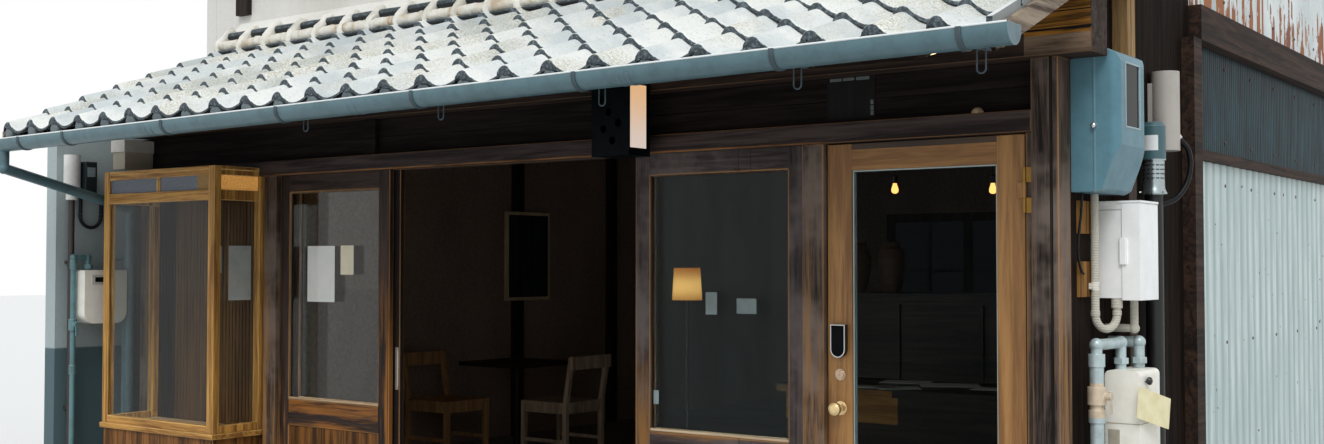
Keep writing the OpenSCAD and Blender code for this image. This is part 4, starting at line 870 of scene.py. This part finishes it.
def meter_details():
    """The right side's meters and boxes, and the faces of the left recess's."""
    frame_x, x, y = 3.3195, *METER
    y0, y1, z0, z1 = 0.155, 0.327, 2.029, 2.286
    bars("meter_window_frame", metal("93abb2", "c4d3d7", 0.35), "meter_grey", 0.0015,
         *[(frame_x, a, b, 3.3275, c, d) for a, b, c, d in (
             (y0, z0, y1, z0 + 0.007), (y0, z1 - 0.007, y1, z1),
             (y0, z0 + 0.007, y0 + 0.007, z1 - 0.007), (y1 - 0.007, z0 + 0.007, y1, z1 - 0.007))])
    bars("meter_window_pane", plain("06090b", "0a0e10", 0.1, 8, 0.0, gloss=0.08), "glass", 0.001,
         (3.3175, 0.1625, 2.0365, 3.3215, 0.3195, 2.2785))
    Shape().lathe([(0.004, -0.002), (0.011, 0.0), (0.0105, 0.006), (0.006, 0.01), (0.001, 0.011)],
                  at(3.2303, 0.0655, 2.035, (90, 0, 0)), 16).piece(
        "meter_latch", metal("c6cccb", "eef0ef", 0.25, 0.9), "iron")
    Shape().lathe([(0.0455, 1.801), (0.056, 1.803), (0.0565, 1.808), (0.0475, 1.826), (0.0456, 1.86), (0.0455, 1.952),
                   (0.044, 1.953), (0.044, 1.801)], at(x, y, 0), 40).piece(
        "shroud", metal("aab6b8", "e2eaea", 0.25, 0.9, 0.5, dirt=0.2), "iron", smooth=40)
    slots, screws, seal, tag = (Shape() for _ in range(4))
    for row, i in product(range(4), range(9)):
        slots.bar((0.0452, -0.0075, -0.0024), (0.0464, 0.0075, 0.0024), 0.0005,
                  place=at(x, y, 1.872 + row * 0.019, (0, 0, (i - 3.5) * 26 - 90)))
    slots.piece("shroud_slots", plain("0a0e10", "12181a", 0.5), "black_plastic")
    for angle in (-150, -30, 90):
        spin = at(x, y, 1.812, (0, 0, angle))
        screws.tube([spin @ Vector((r, 0, 0)) for r in (0.05, 0.064)], 0.004, 8)
    screws.piece("shroud_screws", metal("c0c6c6", "eef0ef", 0.3, 0.9), "iron")
    band = [(0.0522, a) for a in arc(-140, -44, 6)] + [(0.0517, a) for a in arc(-50, -146, -6)]
    Shape().tube_grid([[(*round_point(x, y, r, a), z) for r, a in band] for z in (1.992, 2.058)]).piece(
        "bare_label", plain("e6eaea", "dadfdf", 0.5, 12, 0.01), "ivory_plastic")

    bars("switch_box_cover", metal("fcfdfc", "fefefe", 0.4, 0.0, 0.2, dirt=0.12), "ivory_plastic", 0.0015,
         (3.243, 0.3355, 1.355, 3.3185, 0.34, 1.742), (3.3152, 0.3405, 1.355, 3.3185, 0.5545, 1.742, 0.0012),
         (3.236, 0.326, 1.497, 3.262, 0.334, 1.603, 0.002))
    bars("switch_box_seams", plain("8c8e8c", "7f817f", 0.6), "ivory_plastic", 0.0003,
         (3.1375, 0.3388, 1.716, 3.2428, 0.3402, 1.7185), (3.2415, 0.3388, 1.365, 3.2432, 0.3402, 1.716))
    seal.lathe([(0.004, -0.012), (0.014, -0.006), (0.017, 0.0), (0.014, 0.008), (0.005, 0.012)],
               at(3.3365, 0.372, 1.036, (0, 90, 0)), 14)
    seal.tube([(3.3255, 0.35, 1.034), (3.334, 0.356, 1.034), (3.336, 0.372, 1.036)], 0.003, 8)
    seal.piece("meter_seal", plain("0c0d0f", "16181a", 0.35), "black_plastic")
    a, b = Vector((3.3305, 0.262, 1.022)), Vector((3.3778, 0.505, 0.958))
    down, out = Vector((0.0, -0.03, -0.12)), Vector((0.0006, -0.0002, 0))
    corners = [a, b, b + down, a + down]
    tag.tube_grid([corners, [p + out for p in corners]])
    tag.tube([(3.338, 0.372, 1.028), (3.3405, 0.36, 1.012), (3.3425, 0.33, 0.998)], 0.0012, 6)
    tag.piece("bare_tag", plain("f0e7bf", "e3d8a8", 0.7, 20, 0.03), "ivory_plastic", smooth=30)
    bars("meter_seams", plain("b5ae9c", "a59e8c", 0.6), "ivory_plastic", 0.0004,
         (3.187, 0.2885, 0.868, 3.3255, 0.2905, 0.8715), (3.3242, 0.292, 0.868, 3.3258, 0.533, 0.8715),
         (3.2, 0.286, 0.775, 3.245, 0.2905, 0.845, 0.002))
    bars("left_meter_face", plain("cfd0c8", "bdbeb6", 0.4), "ivory_plastic", 0.002,
         (-2.9405, -0.372, 1.372, -2.9365, -0.255, 1.432))
    bars("left_meter_window", plain("101416", "181c1e", 0.15, 8, 0.0, gloss=0.2), "glass", 0.0008,
         (-2.9368, -0.352, 1.388, -2.935, -0.288, 1.418))
    bars("left_dial", plain("9aa8aa", "7f8d90", 0.2, 60, 0.02), "glass", 0.001,
         (-3.0153, -0.365, 2.045, -3.0125, -0.312, 2.105))


def cables():
    """The two short cables at the meters: each comes out of one housing and goes into another piece."""
    black = plain("07080a", "0e1013", 0.45, 60, 0.02, gloss=0.2)
    for name, radius, points in (
            ("supply_cable", 0.012, [
                (3.2535, 1.076, 2.05), (3.262, 1.082, 2.04), (3.286, 1.092, 2.0), (3.295, 1.088, 1.93),
                (3.283, 1.066, 1.85), (3.254, 1.022, 1.79), (3.221, 0.965, 1.765), (3.205, 0.938, 1.76)]),
            ("meter_tail", 0.005, [
                (3.163, 0.118, 1.778), (3.162, 0.112, 1.7), (3.156, 0.096, 1.6), (3.155, 0.096, 1.53),
                (3.157, 0.118, 1.478), (3.156, 0.15, 1.462)])):
        curve = smooth_path(points, 24)
        made = Shape().tube(curve, radius, 14).piece(name, black, "black_plastic", smooth=60)
    Shape().tube([(3.225, 1.062, 2.082), (3.24, 1.071, 2.066), (3.254, 1.0765, 2.05)],
                 [0.017, 0.019, 0.0155]).piece("cable_gland", plain("cfcac4", "bdb8b2", 0.45), "ivory_plastic")


def smooth_path(points, steps):
    """A Catmull-Rom line through the points, resampled at even steps."""
    pts = [Vector(p) for p in points]
    pts = [2 * pts[0] - pts[1]] + pts + [2 * pts[-1] - pts[-2]]
    fine = []
    for a, b, c, d in zip(pts, pts[1:], pts[2:], pts[3:]):
        for t in (k / 20 for k in range(20)):
            bend = 2 * b + (c - a) * t + (2 * a - 5 * b + 4 * c - d) * t * t
            fine.append(0.5 * (bend + (3 * b - a - 3 * c + d) * t**3))
    fine.append(pts[-2])
    marks = [0.0]
    for a, b in zip(fine, fine[1:]):
        marks.append(marks[-1] + (b - a).length)
    out, j = [], 0
    for i in range(steps + 1):
        want = marks[-1] * i / steps
        while j < len(marks) - 2 and marks[j + 1] < want:
            j += 1
        out.append(fine[j].lerp(fine[j + 1], (want - marks[j]) / (marks[j + 1] - marks[j])))
    return out


def interior():
    """What hangs and lies in the room behind the glass."""
    warm = plain("ffb561", "ffc27a", 0.3, glow=2.6)
    dark = plain("1a1512", "241d18", 0.5)
    for name, x, z in (("left", 1.736, 1.884), ("right", 2.276, 1.867)):
        length = CEILING_Z - z - 0.075
        path = [Vector((x, PENDANT_Y, CEILING_Z - length * i / 16)) for i in range(17)]
        cord = Shape().tube(path, 0.003, 8).piece(f"{name}_flex", dark, "black_plastic")
        holder = Shape().lathe([(0.01, 0.078), (0.017, 0.07), (0.018, 0.04), (0.015, 0.034)], at(x, PENDANT_Y, z), 16)
        holder.lathe([(0.004, 0.0), (0.032, -0.002), (0.03, -0.012), (0.006, -0.022)],
                     at(x, PENDANT_Y, CEILING_Z + 0.0018), 18)
        held = holder.piece(f"{name}_holder", dark, "black_plastic")
        bulb = [(0.01, 0.036), (0.011, 0.026), (0.016, 0.012), (0.019, 0.0), (0.017, -0.011), (0.009, -0.018),
                (0.002, -0.019)]
        lit = Shape().lathe(bulb, at(x, PENDANT_Y, z), 20).piece(f"{name}_bulb", warm, "glass")
    p = Paint(roughness=0.8)
    glow = p.step(p.math("ABSOLUTE", p.math("SUBTRACT", p.xyz[2], 1.372)), 0.11, 0.0)
    colour = p.mix(glow, "a8601c", "ffbe68")
    p.set(base_color=colour, emission_color=colour, emission_strength=1.0)
    p.bump(p.noise(240, 2, 0.5), 0.2, 0.001)
    stand, papers = Shape(), Shape()
    Shape().ring([[(*round_point(*LAMP, r, a), z) for a in turns(32)]
                  for r, z in ((0.086, 1.294), (0.076, 1.477), (0.0745, 1.477), (0.0845, 1.294))]).piece(
        "lamp_shade", p.material, "ivory_plastic", smooth=60)
    stand.lathe([(0.085, 0.0405), (0.09, 0.046), (0.085, 0.052), (0.014, 0.058), (0.008, 0.07), (0.0075, 1.3),
                 (0.012, 1.31), (0.012, 1.335), (0.005, 1.34)], at(*LAMP, 0), 24)
    for a in turns(3):
        stand.tube([(*LAMP, 1.325), (*round_point(*LAMP, 0.084, a), 1.325)], 0.0018, 6)
    stand.piece("lamp_stand", dark, "iron")
    for x, y, w, d, turn in ((1.74, 1.08, 0.21, 0.15, 20), (1.86, 1.09, 0.21, 0.15, 35), (1.73, 1.43, 0.25, 0.17, 15),
                             (2.0, 1.38, 0.3, 0.21, 30), (2.28, 1.3, 0.21, 0.15, 8), (2.45, 1.45, 0.25, 0.18, 40)):
        papers.bar((-w / 2, -d / 2, 0), (w / 2, d / 2, 0.0025), PAPER_EDGE, place=at(x, y, COUNTER_TOP_Z, (0, 0, turn)))
    papers.piece("counter_papers", plain("f4f1e6", "e8e4d6", 0.8), "ivory_plastic")


def window_bars(paint):
    """Lattice bars before the upper window, and the rear windows' bars."""
    front, rear = Shape(), Shape()
    upper = 3.4105, 3.9295
    for i in range(4):
        left, wide = -1.61 + i * 0.825, 0.745
        for k in range(6):
            x = left + wide * (k + 1) / 7
            front.bar((x - 0.011, 0.6905, upper[0]), (x + 0.011, 0.7085, upper[1]), 0.002, rng.random())
        for x0, wide, low, high in ((-1.66 + i * 0.85, 0.77, 0.9405, 1.9245), (left, wide, *upper)):
            middle = (low + high) / 2
            rear.bar((x0 + 0.0005, 7.846, middle - 0.01), (x0 + wide - 0.0005, 7.862, middle + 0.01))
            rear.bar((x0 + wide / 2 - 0.01, 7.8465, low), (x0 + wide / 2 + 0.01, 7.8615, high))
    front.piece("upper_window_bars", paint, "dark_timber")
    rear.piece("rear_window_bars", paint, "dark_timber")


# ---- camera, light and floor

FLOOR_HALF = 60


def set_stage():
    """The photograph's camera, a soft studio light and a pale floor."""
    scene = bpy.context.scene
    scene.view_settings.view_transform = "Standard"
    lens = bpy.data.cameras.new("camera")
    lens.sensor_width = 36
    lens.lens = 1417 / 1324 * 36
    lens.clip_end = 200
    camera = add_object("camera", lens)
    camera.location = (5.165, -5.3, 1.5)
    camera.rotation_euler = (math.radians(91.698), 0, math.radians(36.8))
    scene.camera = camera

    scene.world = bpy.data.worlds.new("studio")
    scene.world.use_nodes = True
    world = Nodes(scene.world.node_tree)
    soft = world.tree.nodes["Background"]
    soft.inputs["Color"].default_value = (0.93, 0.97, 1.0, 1)
    soft.inputs["Strength"].default_value = 0.72
    white = world.new("ShaderNodeBackground", {"Color": (1, 1, 1, 1), "Strength": 1.0})[0]
    either = world.new("ShaderNodeMixShader", {"Fac": world.direct(), 1: soft.outputs[0], 2: white})[0]
    world.feed(world.tree.nodes["World Output"].inputs["Surface"], either)

    lamp = bpy.data.lights.new("key", "SUN")
    lamp.energy = 1.6
    lamp.angle = math.radians(30)
    aim = Vector((-0.35, 0.62, -0.8))
    add_object("key", lamp).rotation_euler = aim.to_track_quat("-Z", "Y").to_euler()

    mesh = bpy.data.meshes.new("floor")
    corners = [(u * FLOOR_HALF, v * FLOOR_HALF, -0.002) for u, v in ((-1, -1), (1, -1), (1, 1), (-1, 1))]
    mesh.from_pydata(corners, [], [[0, 1, 2, 3]])
    p = Paint(roughness=0.9)
    p.set(base_color=p.mix(p.direct(), (0.6, 0.6, 0.59, 1), (0.8, 0.8, 0.79, 1)))
    name_after(p.material, "floor")
    mesh.materials.append(p.material)
    add_object("floor", mesh)


# ---- finishes of the frame's own nodes


def sign_paint():
    """The box sign: a dark front, and a lit panel in its right side, warm above and paler below."""
    p = Paint(specular_ior_level=0.05)
    mottle = p.noise(18)
    panel = p.region(dict(x=(1.2045, 1.2068), y=(-0.2532, -0.1308), z=(2.0298, 2.3202)))
    dark = p.mix(p.step(mottle, 0.35, 0.7), "04080b", "0a1115")
    lit = p.mix(p.step(p.xyz[2], 2.03, 2.32), "dccabf", "e8b98a")
    p.set(base_color=p.mix(panel, dark, lit), roughness=0.45, emission_strength=0.75,
          emission_color=p.mix(panel, (0, 0, 0, 1), lit))
    p.bump(mottle, 0.08, 0.002)
    return p.material


def dress_walls():
    inside = "a5907f", "877466"
    white = "e6e4de", "cfcac0"
    for name, colours, axis, low, high in (
            ("upper_front_wall", white, "y", 0.768, 0.78), ("left_party_wall", white, "x", -3.1365, -3.13),
            ("rear_wall", white, "y", 7.78, 7.7915), ("right_side_wall", ("d9d4c8", "bdb5a6"), "x", 3.02, 3.0265)):
        dress(name, plaster(*colours, zones=[({axis: (low, high)}, *inside)]))
    dress("left_wing_wall", plaster("a9b4b6", "8f9b9e", 0.6, 0.12, (0.98, "53676c")))
    dress("floor_slab", plaster("8f8980", "77726a", 0.8))
    dress("pent_flashing", plaster("f0eee8", "d9d6cd", 0.9, 0.4))


def dress_timber():
    """Every wooden node. Returns the upper window's paint."""
    dress("upper_girder", wood("15100f", "30282a", "x", 0.62, "6a5038", 0.004, 0.5, cracks=0.5))
    dress("door_lintel", wood("1e1614", "483c39", "x", 0.65, "8a623c", 0.008, 0.9, cracks=0.5))
    dress("frieze_boards", wood("181312", "2e2625", "x", 0.7, gaps=("z", 0.1), gloss=0.06))
    dress("front_posts", wood(
        "140e0c", "64544a", "z", 0.7, "b08458", 0.012, 0.95, grey="7e6f66", low_wear_and_light=(1.7, "9a7248"), cracks=1.0))
    dress("upper_posts", wood("7d6140", "b08d5e", "z", 0.7, cracks=0.6, patches=[
        (dict(x=(3.13, 3.21), z=(-0.1, 2.3)), "1f1612", "44342a"),
        (dict(x=(-2.9, -2.7), z=(3.0, 4.5)), "1c1715", "332a26")]))
    rotten = dict(x=(3.02, 3.283), y=(-0.11, -0.095))
    dress("eave_beam", wood("1c1411", "42332a", "x", 0.75, "7a5a3c", 0.006, 0.7, cracks=1.0, patches=[
        (dict(rotten, z=(2.375, 2.62)), "1c0f06", "a8732c"), (dict(rotten, z=(2.29, 2.375)), "4a382c", "8a7460")]))
    # The pent roof's rafters and boards are dark timber, darkened further as painted shade under the eave.
    dress("pent_rafters", wood("1f1612", "4a3728", "y", 0.75))
    dress("pent_deck", wood("1b1310", "3c2d22", "x", 0.8, gaps=("y", 0.12)))
    dress("front_roof_deck rear_roof_deck", wood("4a3828", "7a6048", "y", 0.75))
    dress("pent_verges", wood("4e4038", "a0917e", "y", 0.7, cracks=0.5))
    dress("door_threshold", wood("33251c", "6d5540", "x", 0.6, "9a7a55"))
    # The side boards are dark timber, darkened further as painted shade for the shaded gap by the switch box.
    dress("side_boards", wood("0a0706", "281c14", "z", 0.85, gaps=("y", 0.145), cracks=0.8, gloss=0.08, patches=[
        (dict(x=(3.1354, 3.16)), "5a3c1c", "9a7040")]))
    dress("sheet_rails", wood("170f0c", "3e2b20", "y", 0.75, cracks=0.6))
    dress("upper_floor", wood("6a523c", "a08466", "y", 0.6, gaps=("x", 0.15)))

    left, inner, right = (
        [(x + SASH_GLASS[0], x + SASH_GLASS[1], low, high) for low, high in SASH_RAILS]
        for x in (LEFT_SASH_X, LEFT_SASH_X + INNER_SASH_DX, RIGHT_SASH_X))
    sash = dict(grain="z", rough=0.6, worn="c08c54", edge=0.012, wear=0.95, cracks=0.7)
    dress("sash_left_outer", wood("120c0a", "40322c", low_wear_and_light=(1.35, "a86c30"), rails=left, **sash))
    dress("sash_left_inner", wood("120d0c", "2a2221", rails=inner, **sash))
    dress("sash_right_outer sash_right_inner", wood(
        "1e1817", "544947", grey="6a605d", low_wear_and_light=(1.05, "a0703a"), rails=right, **sash))
    # The show window's pale edge colour is partly rubbed wear, partly painted highlight.
    honey = dict(rough=0.48, worn="f2c884", edge=0.008, wear=1.0)
    show_rails = [(-2.777, -1.777, low, high) for low, high in ((0.4, 0.58), (1.86, 1.935), (2.0, 2.1))]
    dress("show_frame", wood("7a5026", "d09c50", "z", rails=show_rails, **honey))
    dress("show_base", wood("7a5026", "d09c50", "x", **honey))
    dress("show_back", wood("3a2714", "5c4224", "z", 0.6, patches=[(dict(x=(-3.2, -2.6)), "0e0b0a", "1d1815")]))
    door_x = 2.21, 2.863
    # The dark patch across the top of the door's head rail is painted shadow under the lintel.
    dress("entry_door", wood(
        "7c532a", "ae7e46", "z", 0.45, "c79a5c", 0.003, 0.4, 0.7, gloss=0.45,
        rails=[(*door_x, 0.0, 0.27), (*door_x, 1.898, 2.02)],
        patches=[(dict(x=door_x, z=(1.985, 2.02)), "2a1c12", "4a3520")]))
    dress("room_posts", wood("1c1613", "3a2e26", "z", 0.6))
    dress("wall_fittings", wood("d0b48c", "f0dcb8", "z", 0.6, patches=[
        (dict(x=(-3.066, -3.05), y=(3.5275, 4.0225), z=(1.2175, 1.9175)), "1c2022", "343a3e"),
        (dict(x=(2.0, 2.4), z=(2.12, 2.31)), "0d0c0c", "191615"), (dict(x=(2.7, 2.9)), "a48c6c", "c0aa88")]))
    dress("room_furniture", wood("1c1511", "382a20", "z", 0.5, patches=[
        (dict(x=(-FAR, -2.2), y=(2.0, 2.57)), "946a48", "cc9c68"), (dict(x=(-2.08, -1.4)), "8c7662", "c0aa90")]))
    dress("counter", wood("1c1613", "3a2f28", "x", 0.5, patches=[
        (dict(x=(-FAR, 1.87), y=(0.9, 1.7), z=(0.7, 0.872)), "7a5020", "b07c3a"),
        (dict(z=(1.3305, 1.7)), "38261a", "5c422c")]))
    return dress("upper_window rear_windows", wood("211a17", "43372f", "z", 0.6))


def dress_glass():
    # The rear ground-floor panes are tinted near black: painted shade that keeps the back of the room dark.
    dress("window_glass", glass("c4d0d2", 1.25, [(dict(y=(7.5, 7.9), z=(0.5, 2.5)), "090b0c", 0.02, 1.0)]))
    dress("entry_glass", glass("cfd8da", 1.07))
    dress("sash_glass_3 sash_glass_4", glass("e0e9ea", 1.17))
    dress("sash_glass_1 sash_glass_2", glass("f6f4f0", 1.27))
    side = dict(x=(-1.76, -1.74), z=(1.92, 2.02))
    front = dict(y=(-0.4, -0.34), z=(1.92, 2.02))
    # The side top light's golden glow is painted light; no lamp stands in the show window.
    dress("show_glass", glass("eef2f2", 1.18, [
        (side, "dca558", 0.25, 0.15), (dict(front, x=(-1.9, -1.76)), "b8945e", 0.25, 0.3),
        (dict(front, x=(-2.8, -1.9)), "8b929c", 0.2, 0.3)], (side, "e8b060", 0.5)))


def dress_metal():
    """Every node of metal or plastic. Returns the gutter's paint."""
    left_recess, cylinder_y = dict(x=(-3.2, -2.9)), (0.84, 0.975)
    dress("gutter_brackets", metal("3d4e55", "6f8288", 0.55, dirt=0.5))
    dress("door_lock", metal("ecd09a", "fbeecb", 0.28, 0.85, 0.5, dirt=0.15, zones=[
        (dict(x=(2.1, 2.2), y=(-0.04, 0.0), z=(1.09, 1.25)), "0a0c0f", 0.3, 0.0),
        (dict(x=(2.1, 2.2), y=(-0.04, 0.0), z=(1.0, 1.06)), "c4aa92", 0.25, 0.95)]))
    dress("door_hinges", metal("96702e", "c8a25c", 0.45, 0.6))
    dress("power_meter_box", metal("5f8896", "9ab2b8", 0.36, 0.0, 0.35, 0.008, 0.2, dirt=0.25))
    dress("side_boxes", metal("fafbfa", "fdfdfc", 0.42, 0.0, 0.2, dirt=0.12, zones=[
        (dict(y=(0.97, 1.12)), "b3ada6", 0.5, 0.0), (dict(y=cylinder_y, z=(-FAR, 1.8)), "08090a", 0.5, 0.0),
        (dict(y=cylinder_y, z=(1.8, 1.955)), "aab6b8", 0.25, 0.9),
        (dict(y=cylinder_y, z=(1.955, 2.2)), "41636a", 0.4, 0.0)]))
    dress("gas_meters", metal("f8f5ea", "fdfbf4", 0.4, 0.0, 0.2, dirt=0.15))
    dress("meter_conduit", metal("cfcabb", "bdb8a9", 0.55, ribs=0.0065, dirt=0.15, zones=[
        (dict(x=(3.14, 3.2), y=(-FAR, 0.3), z=(1.395, 1.43)), "f0ece0", 0.4, 0.0),
        (left_recess, "16181a", 0.4, 0.0)]))
    dress("gas_pipes", metal("b9cacd", "dde6e7", 0.38, 0.3, 0.5, dirt=0.5, zones=[
        (dict(x=(3.1, 3.3), y=(0.12, 0.3), z=(0.9, 1.035)), "d8c6ad", 0.4, 0.2),
        (left_recess, "5f8489", 0.4, 0.2)]))
    dress("recess_boxes", metal("c9c0ae", "dcd5c6", 0.5, 0.0, 0.2, dirt=0.25, zones=[
        (dict(x=(-3.05, -2.88), y=(-0.2, 0.03), z=(2.209, 2.29)), "e9e5dc", 0.45, 0.0),
        (dict(x=(-3.2, -3.0), y=(-0.49, -0.377), z=(1.9, 2.2)), "e7e7e4", 0.4, 0.0),
        (dict(x=(-3.2, -3.0), y=(-0.49, -0.41), z=(0.0, 1.899)), "38302d", 0.5, 0.0),
        (dict(x=(-3.2, -3.0), y=(-0.376, -0.29), z=(1.93, 2.15)), "253237", 0.35, 0.0)]))
    dress("box_sign", sign_paint())
    # The gutter's pale edge colour a9bcc1 is a painted highlight along its lip and edges.
    return dress("gutter downpipe", metal("57757e", "a9bcc1", 0.38, 0.0, 0.4, dirt=0.4))


def finish_frame():
    clay = roof_tile()
    dark_clay = roof_tile("6f7d84", "4c5a61", "2c363b", 0.2)
    collar = plaster("f0eee6", "c6c2b4", 0.9, 0.9, patchy=7.0)
    tan = plaster("e6e3d9", "b49a76", 0.9, 0.9, patchy=9.0)
    plug = plaster("7d878a", "59636a", 0.95, 0.7)
    dress_walls()
    window = dress_timber()
    dress_glass()
    gutter = dress_metal()
    pent_tiles(clay, plug)
    main_tiles(clay, plug)
    ridge(dark_clay, tan)
    flashing(collar, tan, dark_clay)
    sheets()
    # The near-white paint of the rod along the gutter's lip is a painted highlight.
    gutter_details(gutter, metal("f0f5f5", "fbfdfd", 0.35, 0.0, 0.5, dirt=0.1))
    sash_details()
    door_details()
    front_details()
    show_window_details()
    meter_details()
    window_bars(window)
    interior()


set_stage()
cables()
finish_frame()
